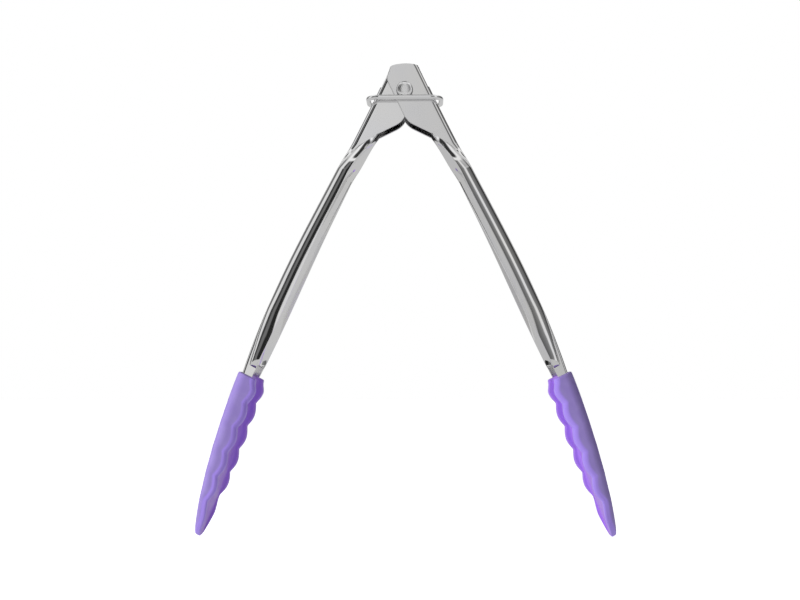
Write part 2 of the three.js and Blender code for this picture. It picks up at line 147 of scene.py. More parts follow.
@dataclass
class SheetSkin:
    """The outer skin of a piece of sheet, before it gets its thickness.

    Attributes:
        points: Places of the vertices.
        normals: Outward direction of the sheet at each vertex.
        faces: Faces, turned to agree with the normals.
        _known: Number of the vertex at each place so far.
    """

    points: list[Vector] = field(default_factory=list)
    normals: list[Vector] = field(default_factory=list)
    faces: list[tuple[int, ...]] = field(default_factory=list)
    _known: dict[tuple[float, ...], int] = field(default_factory=dict)

    def add(self, point: Vector, normal: Vector) -> int:
        """Return the number of the vertex at a point, which is made if it is new.

        Args:
            point: The place.
            normal: Outward direction of the sheet there.

        Returns:
            The number of the vertex.
        """
        key = tuple(round(value, 3) for value in point)
        if key not in self._known:
            self._known[key] = len(self.points)
            self.points.append(point)
            self.normals.append(normal.normalized())
        return self._known[key]

    def face(self, corners: Sequence[int]) -> None:
        """Add a face through the corners, turned to agree with their normals.

        Args:
            corners: Numbers of the vertices round the face.
        """
        ids = list(dict.fromkeys(corners))
        if len(ids) < 3:
            return
        a, b, c = (self.points[i] for i in ids[:3])
        across = (b - a).cross(c - a)
        if across.dot(self.normals[ids[0]] + self.normals[ids[1]] + self.normals[ids[2]]) < 0:
            ids.reverse()
        self.faces.append(tuple(ids))

    def _rim(self) -> tuple[dict[int, Vector], list[tuple[int, int]]]:
        """Find the free edges, and the direction out of the sheet at each of their points.

        Returns:
            The direction at each point of the free edges, and those edges.
        """
        edges = {(f[i], f[(i + 1) % len(f)]) for f in self.faces for i in range(len(f))}
        free = [(a, b) for a, b in edges if (b, a) not in edges]
        free.sort()
        outward: dict[int, Vector] = {}
        for a, b in free:
            along = (self.points[b] - self.points[a]).normalized()
            for i in (a, b):
                out = along.cross(self.normals[i]).normalized()
                outward[i] = outward.get(i, Vector()) + out
        return {i: out / max(out.length_squared / 2, 0.7) for i, out in outward.items()}, free

    def thickened(self, thickness: float, edge: float, steps: int = 3) -> ClosedShape:
        """Give the sheet its thickness, with rounded free edges.

        Args:
            thickness: Sheet thickness, taken inwards from the skin.
            edge: Radius of the rounding along each free edge.
            steps: Faces round each rounded edge.

        Returns:
            The closed shape, with exact normals.
        """
        outward, free = self._rim()
        shape = ClosedShape()
        count = len(self.points)
        for depth, sign in ((0.0, 1), (thickness, -1)):
            for i in range(count):
                back = outward[i] * edge if i in outward else Vector()
                shape.points.append(self.points[i] - back - self.normals[i] * depth)
                shape.normals.append(self.normals[i] * sign)
        shape.faces += self.faces
        shape.faces += [tuple(count + i for i in reversed(f)) for f in self.faces]
        quarter = [math.pi / 2 * k / steps for k in range(1, steps + 1)]
        turns = [(turn, edge * (1 - math.cos(turn)), 1) for turn in quarter]
        turns += [(turn, thickness - edge * (1 - math.cos(turn)), -1) for turn in quarter[::-1]]
        ring: dict[int, list[int]] = {}
        for i, out in outward.items():
            chain = [i]
            for turn, depth, sign in turns:
                chain.append(len(shape.points))
                reach = out * edge * (math.sin(turn) - 1)
                shape.points.append(self.points[i] + reach - self.normals[i] * depth)
                up = self.normals[i] * math.cos(turn) * sign
                shape.normals.append((up + out.normalized() * math.sin(turn)).normalized())
            ring[i] = [*chain, count + i]
        for a, b in free:
            for k in range(len(turns) + 1):
                shape.faces.append((ring[b][k], ring[a][k], ring[a][k + 1], ring[b][k + 1]))
        return shape


def loft(rings: Sequence[Sequence[Vector]], round_trip: bool = False) -> ClosedShape:
    """Join closed rings of points into one closed shape.

    Args:
        rings: Rings with the same number of points each, in order along the piece.
        round_trip: True if the last ring joins the first, as on a tube that closes.

    Returns:
        The shape, capped at both ends unless it closes on itself.
    """
    size = len(rings[0])
    shape = ClosedShape(points=[point for ring in rings for point in ring])
    for i in range(len(rings) if round_trip else len(rings) - 1):
        a, b = i * size, ((i + 1) % len(rings)) * size
        for j in range(size):
            k = (j + 1) % size
            shape.faces.append((a + j, a + k, b + k, b + j))
    if not round_trip:
        last = (len(rings) - 1) * size
        shape.faces.append(tuple(reversed(range(size))))
        shape.faces.append(tuple(range(last, last + size)))
    return shape


def heal(piece: bpy.types.Object, distance: float = 1e-6) -> None:
    """Merge the doubles of a piece's mesh and turn its faces outwards.

    Args:
        piece: The object to clean.
        distance: Points closer than this, in metres, become one.
    """
    mesh = bmesh.new()
    mesh.from_mesh(piece.data)
    bmesh.ops.remove_doubles(mesh, verts=mesh.verts, dist=distance)
    bmesh.ops.dissolve_degenerate(mesh, edges=mesh.edges, dist=distance / 2)
    bmesh.ops.recalc_face_normals(mesh, faces=mesh.faces)
    mesh.to_mesh(piece.data)
    mesh.free()


def bake_modifiers(piece: bpy.types.Object) -> None:
    """Replace a piece's mesh by the result of its modifiers, and remove them.

    Args:
        piece: The object, whose modifiers are removed.
    """
    bpy.context.view_layer.update()
    graph = bpy.context.evaluated_depsgraph_get()
    result = bpy.data.meshes.new_from_object(piece.evaluated_get(graph), depsgraph=graph)
    piece.modifiers.clear()
    piece.data = result


@dataclass
class NodeBench:
    """A node tree with helpers that place nodes and join them.

    Attributes:
        tree: The tree of a material, of the world or of a group.
    """

    tree: bpy.types.NodeTree

    def feed(self, node: bpy.types.Node, inputs: dict[str | int, object]) -> None:
        """Give a node's input sockets their values or their links.

        Args:
            node: The node.
            inputs: For each socket its value, or the output socket that feeds it.
        """
        for key, value in inputs.items():
            if isinstance(value, bpy.types.NodeSocket):
                self.tree.links.new(value, node.inputs[key])
            else:
                node.inputs[key].default_value = value

    def add(
        self, kind: str, inputs: dict[str | int, object] | None = None, **settings: object
    ) -> bpy.types.Node:
        """Place a node.

        Args:
            kind: Type of the node.
            inputs: For each socket its value, or the output socket that feeds it.
            settings: Properties of the node.

        Returns:
            The new node.
        """
        node = self.tree.nodes.new(kind)
        for key, value in settings.items():
            setattr(node, key, value)
        self.feed(node, inputs or {})
        return node

    def ranged(
        self,
        value: bpy.types.NodeSocket,
        low: float,
        high: float,
        start: float = 0.0,
        stop: float = 1.0,
        smooth: bool = False,
    ) -> bpy.types.NodeSocket:
        """Spread a value over a new range.

        Args:
            value: The value.
            low: Result at start.
            high: Result at stop.
            start: Value where the range starts.
            stop: Value where it ends.
            smooth: True to ease in and out.

        Returns:
            The spread value, held between low and high.
        """
        node = self.add(
            "ShaderNodeMapRange",
            {"Value": value, "From Min": start, "From Max": stop, "To Min": low, "To Max": high},
            interpolation_type="SMOOTHSTEP" if smooth else "LINEAR",
        )
        return node.outputs["Result"]

    def mixed(
        self, share: bpy.types.NodeSocket, low: Colour | bpy.types.NodeSocket, high: Colour
    ) -> bpy.types.NodeSocket:
        """Mix two colours.

        Args:
            share: How much of the second colour there is, from 0 to 1.
            low: First colour, or the socket that gives it.
            high: Second colour.

        Returns:
            The mixed colour.
        """
        first = low if isinstance(low, bpy.types.NodeSocket) else (*low, 1)
        node = self.add("ShaderNodeMix", {0: share, 6: first, 7: (*high, 1)}, data_type="RGBA")
        return node.outputs[2]


# ---- Frame of the arms ----------------------------------------------------------------


@dataclass
class ArmFrame:
    """Where an arm's own frame lies in the object's frame.

    Attributes:
        open_angle: Angle of each arm from the vertical at rest, in degrees.
        stagger: How far each stamping sits off the middle plane.
        height: Height of the rivet's axis.
    """

    open_angle: float = 25.6
    stagger: float = 0.65
    height: float = 0.0

    def place(self, side: Side, local: Vector) -> Vector:
        """Return the object-frame place, in metres, of a point (across, inward, down).

        Args:
            side: The side of the pair.
            local: The point.

        Returns:
            The place.
        """
        return self.turn(side, local + Vector((self.stagger, 0, 0))) * MM + Vector(
            (0, 0, self.height * MM)
        )

    def turn(self, side: Side, local: Vector) -> Vector:
        """Return the object-frame direction of a direction (across, inward, down).

        Args:
            side: The side of the pair.
            local: The direction.

        Returns:
            The turned direction.
        """
        angle = math.radians(self.open_angle)
        across, inward, down = local
        x = inward * math.cos(angle) - down * math.sin(angle)
        z = -inward * math.sin(angle) - down * math.cos(angle)
        sign = -side.value
        return Vector((sign * x, sign * across, z))

    def local(self, side: Side, place: Vector) -> Vector:
        """Return the point (across, inward, down) of a place in the object's frame.

        Args:
            side: The side of the pair.
            place: Place in the object's frame, in metres.

        Returns:
            The point, in millimetres.
        """
        angle = math.radians(self.open_angle)
        sign = -side.value
        x, z = sign * place.x / MM, place.z / MM - self.height
        inward = x * math.cos(angle) - z * math.sin(angle)
        down = -x * math.sin(angle) - z * math.cos(angle)
        return Vector((sign * place.y / MM - self.stagger, inward, down))

    def seat(self, side: Side, shape: ClosedShape) -> ClosedShape:
        """Return a shape drawn in the arm's frame, moved to its place on one side.

        Args:
            side: The side of the pair.
            shape: The shape, in the arm's frame.

        Returns:
            The same shape in the object's frame.
        """
        return ClosedShape(
            points=[self.place(side, point) for point in shape.points],
            faces=shape.faces,
            normals=[self.turn(side, normal) for normal in shape.normals],
        )


@dataclass
class ArmProfile:
    """Outline of one stamped arm, as functions of the distance down from the rivet.

    Attributes:
        sheet: Thickness of the steel.
        head_width: Width over the ears.
        grip_width: Width over the grip, at its widest.
        root_width: Width at the root, where the sleeve starts.
        length: Distance down to the root.
        steel_end: Distance down to the end of the steel, inside the sleeve.
        flare_start: Where the head starts to widen to the grip.
        flare_end: Where the grip has its full width.
        widen: Where the flat part of the flanges follows the flare, from and to.
        back_at_pivot: Outer face of the web beside the rivet.
        back_at_root: Outer face of the web at the root.
        back_bow: How far the back bows out between them.
        bow_power: Above 1, the bow is fullest nearer to the root.
        neck_edge: Free edge of the flanges at the neck.
        grip_edge_swell: How far the edge swells inwards along the grip.
        head_bend: Outer radius of the bend at the head.
        root_bend: The same at the root.
        trough_bend: Radius of the rounded trough along each flange.
        trough_reach: Length of the trough's curve as a share of the flange past its line.
        trough_crown: How far the web is crowned between the troughs.
        trough_start: Where the trough opens out from the edge, from and to.
        trough_end: Where it runs out again, from and to.
        trough_end_line: Height of its line there, as a share of the flange.
        trough_nose: Length of its rounded nose.
        root_flat: Half of the width over the flat flanges at the root.
        grip_start: Where the edge has come down from the foot of the ear to the grip.
        foot: Distance down to the foot of the ear.
        foot_edge: Free edge at that foot.
        tip_length: Length of the tip past the root.
        tip_curl: How far the tip curls inwards.
        tip_curl_power: Above 1, the curl is strongest at the end.
        tip_bulge: How far each side of the tip widens.
        tip_round: Length of the rounded end of the tip.
        lip_rise: How far the edge rises inwards along the tip.
    """

    sheet: float = 1.0
    head_width: float = 13.7
    grip_width: float = 33.0
    root_width: float = 31.6
    length: float = 145.0
    steel_end: float = 187.0
    flare_start: float = 24.0
    flare_end: float = 41.0
    widen: tuple[float, float] = (30.0, 45.0)
    back_at_pivot: float = -10.8
    back_at_root: float = -9.5
    back_bow: float = 2.9
    bow_power: float = 1.8
    neck_edge: float = -5.9
    grip_edge_swell: float = 1.1
    head_bend: float = 2.4
    root_bend: float = 1.1
    trough_bend: float = 6.2
    trough_reach: float = 1.13
    trough_crown: float = 0.5
    trough_start: tuple[float, float] = (22.8, 45.0)
    trough_end: tuple[float, float] = (114.0, 140.5)
    trough_end_line: float = 0.55
    trough_nose: float = 4.5
    root_flat: float = 13.9
    grip_start: float = 46.0
    foot: float = 22.6
    foot_edge: float = -2.3
    tip_length: float = 74.0
    tip_curl: float = 12.8
    tip_curl_power: float = 1.35
    tip_bulge: float = 3.4
    tip_round: float = 36.0
    lip_rise: float = 5.3

    def back(self, down: float) -> float:
        """Return the outer face of the web.

        Args:
            down: Distance down the arm from the rivet's axis.

        Returns:
            Place across the arm, positive towards the other arm.
        """
        if down > self.length:
            along = (down - self.length) / self.tip_length
            return self.back_at_root + self.tip_curl * along**self.tip_curl_power
        along = clamp(down / self.length)
        bow = self.back_bow * math.sin(math.pi * along**self.bow_power)
        return lerp(self.back_at_pivot, self.back_at_root, along) - bow

    def edge(self, down: float) -> float:
        """Return the free edge of the flanges below the ear.

        Args:
            down: Distance down the arm from the rivet's axis.

        Returns:
            Place across the arm, positive towards the other arm.
        """
        above = clamp((self.grip_start - down) / (self.grip_start - self.foot))
        tip = clamp((down - self.length) / self.tip_length)
        neck = lerp(self.neck_edge, self.foot_edge, above**1.3)
        swell = smoothstep(down, self.grip_start + 20, self.length - 15)
        swell -= 0.8 * smoothstep(down, self.length - 5, self.length + 25)
        return neck + self.grip_edge_swell * swell + self.lip_rise * math.sin(math.pi / 2 * tip)

    def half_width(self, down: float) -> float:
        """Return half of the width over the flanges.

        Args:
            down: Distance down the arm from the rivet's axis.

        Returns:
            The half width.
        """
        flare = smoothstep(down, self.flare_start, self.flare_end)
        grip = clamp((down - self.flare_end) / (self.length - self.flare_end))
        bulge = smoothstep(down, self.length, self.length + self.tip_length - self.tip_round)
        width = self.head_width + (self.grip_width - self.head_width) * flare
        width += (self.root_width - self.grip_width) * grip
        return width / 2 + self.tip_bulge * bulge

    def trough_line(self, down: float) -> float:
        """Return where the rounded trough starts across the flange, from 0, the web, to 1.

        Args:
            down: Distance down the arm from the rivet's axis.

        Returns:
            Share of the flange that is flat.
        """
        start = 1 - clamp((down - self.trough_start[0]) / (self.trough_start[1] - self.trough_start[0]))
        if down > self.trough_end[1]:
            return 1.0
        stop = clamp((down - self.trough_end[0]) / (self.trough_end[1] - self.trough_end[0]))
        return max(start, stop**1.4 * self.trough_end_line)

    def crown(self, down: float) -> float:
        """Return how far the web is crowned between the troughs.

        Args:
            down: Distance down the arm from the rivet's axis.

        Returns:
            The rise of the crown.
        """
        rise = smoothstep(down, *self.trough_start)
        fall = smoothstep(down, self.trough_end[0] - 8, self.trough_end[1] - 5)
        return self.trough_crown * rise * (1 - fall)

    def flat_half(self, down: float) -> float:
        """Return half of the width over the flat part of the flanges.

        Args:
            down: Distance down the arm from the rivet's axis.

        Returns:
            The half width.
        """
        widen = smoothstep(down, *self.widen)
        inner = self.half_width(down) - self.trough_bend
        half = lerp(self.head_width / 2, max(inner, self.head_width / 2), widen)
        root = smoothstep(down, self.trough_end[0] - 12, self.trough_end[1])
        settled = min(self.root_flat, self.half_width(down))
        settled += max(0.0, self.half_width(down) - self.root_width / 2) if down > self.length else 0
        return lerp(half, settled, root)

    def outer_half(self, down: float) -> float:
        """Return half of the width over the trough, where the arm has one.

        Args:
            down: Distance down the arm from the rivet's axis.

        Returns:
            The half width, which ends at the trough's nose.
        """
        nose = clamp((down - self.trough_end[1] + self.trough_nose) / self.trough_nose)
        stop = 1 - math.sqrt(1 - nose * nose)
        flat = self.flat_half(down)
        return lerp(max(self.half_width(down), flat), flat, stop)

    def bend(self, down: float) -> float:
        """Return the outer radius of the bend between web and flat flange.

        Args:
            down: Distance down the arm from the rivet's axis.

        Returns:
            The radius.
        """
        root = smoothstep(down, self.trough_start[1], self.trough_end[0])
        radius = lerp(self.head_bend, self.root_bend, root)
        height = self.trough_line(down) * (self.edge(down) - self.back(down))
        return max(0.02, min(radius, 0.55 * height))


# ---- Arms -------------------------------------------------------------------------------


@dataclass
class StampedArm:
    """One stamped steel arm: two ears, a wide open channel and the root in the sleeve.

    Attributes:
        place: Frame that carries the arm to its side.
        profile: Outline of the stamping.
        edge_round: Rounding of the sheared edges.
        notch: The web is cut away above this distance down.
        patch_end: The flat ear is drawn down to here.
        hole: Radius of the hole for the rivet.
        web_steps: Faces across half of the web.
        bend_steps: Faces round the bend.
        flange_steps: Faces up the flat flange.
        trough_steps: Faces round the trough.
        top_slope: Distances down of the ear's crest and of its shoulder at the back.
        top_arch: How far the top is arched between them.
        crest: Place of the crest across the ear.
        ear_front: Free edge of the ear.
        ear_front_span: Where that edge starts and ends, down the arm.
        ear_rounds: Rounding of the ear's crest and of the two ends of that edge.
        grid: Distance between the points that are spread over the ear.
        grid_clear: How far they keep from its outline and its hole.
        grid_room: Where they are spread: from and to across the ear, then down it.
        corner_rows: Rows of the bend that is left beside the ear, above the notch.
        corner_from: The bend is left there from this face on.
        corner_reach: It lies outside this place across the ear.
    """

    place: ArmFrame
    profile: ArmProfile
    edge_round: float = 0.22
    notch: float = 3.0
    patch_end: float = 22.8
    top_slope: tuple[float, float] = (-12.6, -7.4)
    top_arch: float = 1.0
    crest: float = 1.0
    ear_front: float = 5.2
    ear_front_span: tuple[float, float] = (-8.2, 13.2)
    ear_rounds: tuple[float, float, float] = (0.8, 1.6, 3.2)
    grid: float = 1.3
    grid_clear: float = 0.75
    grid_room: tuple[float, float, float, float] = (-10.0, 4.6, -11.5, 24.0)
    corner_rows: int = 8
    corner_from: int = 6
    corner_reach: float = -6.0
    hole: float = 2.3
    web_steps: int = 9
    bend_steps: int = 14
    flange_steps: int = 5
    trough_steps: int = 22

    def _half_section(self, down: float) -> list[Vector]:
        """Return the section's points, (across, inward), from the middle to the free edge.

        Args:
            down: Distance down the arm from the rivet's axis.

        Returns:
            The points.
        """
        profile = self.profile
        flat, outer = profile.flat_half(down), profile.outer_half(down)
        back, edge, bend = profile.back(down), profile.edge(down), profile.bend(down)
        line = lerp(back, edge, profile.trough_line(down))
        rise = min(profile.trough_bend, profile.trough_reach * max(edge - line, 0.0))
        fillet = min(0.9, 0.5 * (line - back - bend), 0.35 * rise)
        crown = profile.crown(down)
        section = []
        for i in range(self.web_steps):
            along = i / self.web_steps
            sag = crown * (1 + math.cos(math.pi * along)) / 2
            section.append(Vector(((flat - bend) * along, back - sag)))
        for i in range(self.bend_steps + 1):
            turn = math.pi / 2 * i / self.bend_steps
            place = Vector((flat - bend + bend * math.sin(turn), back + bend * (1 - math.cos(turn))))
            section.append(place)
        low, high = back + bend, line - max(fillet, 0.0)
        for i in range(1, self.flange_steps + 1):
            section.append(Vector((flat, lerp(low, max(high, low), i / self.flange_steps))))
        start = section[-1].y
        for i in range(1, self.trough_steps + 1):
            share = i / self.trough_steps
            inward = lerp(start, edge, share**1.25)
            swell = self._swell(inward, line, rise, fillet)
            section.append(Vector((flat + (outer - flat) * swell, inward)))
        return section

    @staticmethod
    def _swell(inward: float, line: float, rise: float, fillet: float) -> float:
        """Return how far the trough has swelled out, 0 to 1, at a place across the flange.

        Args:
            inward: The place across the flange.
            line: Where the trough starts.
            rise: Width of the trough.
            fillet: Size of the soft corner at its start.

        Returns:
            The share, from 0 to 1.
        """
        if rise < 1e-6:
            return 0.0
        share = clamp((inward - line + max(fillet, 0.0)) / (rise + max(fillet, 0.0)))
        ease = smoothstep(share, 0.0, 0.5 * max(fillet, 0.0) / (rise + max(fillet, 1e-6)) + 1e-6)
        return math.sqrt(1 - (1 - share) ** 2) * ease

    def _row(self, down: float) -> list[tuple[Vector, Vector]]:
        """Return the places and normals of half a section in the arm's frame.

        Args:
            down: Distance down the arm from the rivet's axis.

        Returns:
            The places with their normals, from the middle to the free edge.
        """
        section = self._half_section(down)
        ahead, behind = self._half_section(down + 0.05), self._half_section(down - 0.05)
        row = []
        last = len(section) - 1
        for i, point in enumerate(section):
            far, near = ahead[i], behind[i]
            along = Vector((far.x - near.x, far.y - near.y, 0.1))
            before = section[i - 1] if i > 0 else Vector((-section[1].x, section[1].y))
            after = section[min(i + 1, last)]
            round_it = Vector((after.x - before.x, after.y - before.y, 0))
            if round_it.length < 1e-6:
                round_it = Vector((0, 1, 0))
            row.append((Vector((point.x, point.y, down)), round_it.cross(along).normalized()))
        return row

    def _stations(self) -> list[float]:
        """Return the places along the arm where its section is drawn.

        Returns:
            The distances down.
        """
        profile = self.profile
        return [
            *spread(self.notch, self.patch_end, 1.6),
            *spread(self.patch_end, profile.flare_end + 6, 0.55)[1:],
            *spread(profile.flare_end + 6, 108, 2.0)[1:],
            *spread(108, profile.trough_end[1] - 6, 0.6)[1:],
            *spread(profile.trough_end[1] - 6, profile.trough_end[1] + 0.6, 0.3)[1:],
            *spread(profile.trough_end[1] + 0.6, profile.trough_end[1] + 2, 0.7)[1:],
            *spread(profile.trough_end[1] + 2, profile.length, 1.6)[1:],
            *spread(profile.length, profile.steel_end, 3.5)[1:],
        ]

    def _slope(self, inward: float) -> float:
        """Return the distance down of the ear's sloping top at a place across the ear.

        Args:
            inward: The place across the ear.

        Returns:
            The distance down.
        """
        crest, shoulder = self.top_slope
        back = self.profile.back_at_pivot
        share = (inward - back) / (self.crest - back)
        return lerp(shoulder, crest, share) - 4 * self.top_arch * share * (1 - share)

    def _tangent(self, down: float) -> float:
        """Return where the bend ends and the flat flange starts."""
        return self.profile.back(down) + self.profile.bend(down)

    def _seam(self) -> list[float]:
        """Return the places down where the ear is joined to the bend beside it.

        Returns:
            The distances down.
        """
        top = self._slope(self._tangent(0.0))
        return [
            *spread(top, self.notch, (self.notch - top) / self.corner_rows),
            *spread(self.notch, self.patch_end, 1.6)[1:],
        ]

    def _ear_outline(self) -> list[Vector]:
        """Return the ear's free outline, (inward, down), from the slope's start to patch_end.

        Returns:
            The points of the outline.
        """
        profile = self.profile
        outline = [
            Vector((inward, self._slope(inward)))
            for inward in spread(self._tangent(0.0), self.crest - 2 * self.ear_rounds[0], 1.2)
        ]
        corners = [
            Vector((self.crest, self.top_slope[0])),
            *(Vector((self.ear_front, down)) for down in self.ear_front_span),
        ]
        foot = Vector((profile.edge(self.patch_end), self.patch_end))
        places = [outline[-1], *corners, foot]
        for before, corner, after, size in zip(places, corners, places[2:], self.ear_rounds):
            enter = corner + (before - corner).normalized() * size
            leave = corner + (after - corner).normalized() * size
            for share in spread(0.0, 1.0, 1 / 8):
                outline.append(enter.lerp(corner, share).lerp(corner.lerp(leave, share), share))
        last = outline[-1]
        outline += [last.lerp(foot, share) for share in (0.2, 0.4, 0.6, 0.8, 1.0)]
        return outline

    def _spread_points(self, outline: Sequence[Vector]) -> list[Vector]:
        """Spread points over the ear's face, clear of its outline and its hole.

        Args:
            outline: Points of the outline and of the hole.

        Returns:
            The points, (inward, down).
        """
        left, right, top, bottom = self.grid_room
        points = []
        for inward in spread(left, right, self.grid):
            for down in spread(top, bottom, self.grid):
                point = Vector((inward, down))
                clear = min((point - other).length for other in outline)
                if clear > self.grid_clear and point.length > self.hole:
                    points.append(point)
        return points

    def _ear(self, skin: SheetSkin, side: int) -> None:
        """Add one flat ear with its hole to the skin, and the bend left beside it.

        Args:
            skin: Skin of the arm so far.
            side: 1 for the ear at positive across, -1 for the other.
        """
        profile = self.profile
        half = profile.head_width / 2
        seam = [Vector((self._tangent(max(down, 0.0)), down)) for down in self._seam()]
        foot_row = [
            Vector((point.y, self.patch_end))
            for point in self._half_section(self.patch_end)[self.web_steps + self.bend_steps + 1 : -1]
        ]
        loop = [*seam, *foot_row, *reversed(self._ear_outline()[1:])]
        loop = [p for i, p in enumerate(loop) if (p - loop[i - 1]).length > 2e-3]
        hole = [
            Vector((self.hole * math.cos(a), self.hole * math.sin(a)))
            for a in [2 * math.pi * i / 48 for i in range(48)]
        ]
        inner = self._spread_points([*loop, *hole])
        count, holes = len(loop), len(hole)
        edges = [(i, (i + 1) % count) for i in range(count)]
        edges += [(count + i, count + (i + 1) % holes) for i in range(holes)]
        made = delaunay_2d_cdt([*loop, *hole, *inner], edges, [], 2, 1e-5)
        points, faces = made[0], made[2]
        normal = Vector((side, 0, 0))
        used = sorted({i for corners in faces for i in corners})
        ids = {i: skin.add(Vector((side * half, *points[i])), normal) for i in used}
        for corners in faces:
            skin.face([ids[i] for i in corners])
        self._corner_bend(skin, side)

    def _corner_bend(self, skin: SheetSkin, side: int) -> None:
        """Add the outer part of the bend, which is left beside the ear above the notch.

        Args:
            skin: Skin of the arm so far.
            side: 1 for the bend at positive across, -1 for the other.
        """
        profile = self.profile
        half, bend, back = profile.head_width / 2, profile.head_bend, profile.back_at_pivot
        columns = []
        for i in range(self.corner_from, self.bend_steps + 1):
            turn = math.pi / 2 * i / self.bend_steps
            normal = Vector((side * math.sin(turn), -math.cos(turn), 0))
            across = side * (half - bend + bend * math.sin(turn))
            column = []
            for k in range(self.corner_rows + 1):
                share = k / self.corner_rows
                rest = bend * (1 - math.cos(turn))
                down = lerp(self._slope(back + rest), self.notch, share)
                inward = profile.back(max(down, 0.0)) + rest
                column.append(skin.add(Vector((across, inward, down)), normal))
            columns.append(column)
        for near, far in zip(columns, columns[1:]):
            for k in range(self.corner_rows):
                skin.face((near[k], near[k + 1], far[k + 1], far[k]))

    def _skin(self) -> SheetSkin:
        """Return the whole outer skin of the arm.

        Returns:
            The skin, without its thickness.
        """
        skin = SheetSkin()
        stations = self._stations()
        bend_end = self.web_steps + self.bend_steps
        rows = [self._row(down) for down in stations]
        for side in (1, -1):
            grid = []
            for down, row in zip(stations, rows):
                used = row if down > self.patch_end - 1e-6 else row[: bend_end + 1]
                grid.append([
                    skin.add(
                        Vector((side * point.x, point.y, point.z)),
                        Vector((side * normal.x, normal.y, normal.z)),
                    )
                    for point, normal in used
                ])
            for near, far in zip(grid, grid[1:]):
                for j in range(min(len(near), len(far)) - 1):
                    skin.face((near[j], near[j + 1], far[j + 1], far[j]))
            self._ear(skin, side)
        return skin

    def shape(self) -> ClosedShape:
        """Return the arm as a closed shape in its own frame.

        Returns:
            The shape, closed all round.
        """
        shape = self._skin().thickened(self.profile.sheet, self.edge_round)
        inside = self.profile.head_width / 2 - self.profile.sheet
        # Beside the ear no part of the bend may stand further in than the ear's inner face,
        # which leaves room for the other arm.
        for point in shape.points:
            if point.z < self.notch - 0.4 and abs(point.x) < inside and point.y < self.corner_reach:
                point.x = math.copysign(inside, point.x)
        return shape

    def build(self, side: Side, material: bpy.types.Material) -> bpy.types.Object:
        """Make one arm.

        Args:
            side: The side of the pair.
            material: Polished steel.

        Returns:
            The finished arm, riding on its body.
        """
        name = side.name.lower()
        piece = self.place.seat(side, self.shape()).to_object(f"{name}_arm_stamping", material)
        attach(piece, f"{name}_arm")
        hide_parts(f"{name}_arm")
        return piece


# ---- Sleeves ------------------------------------------------------------------------------


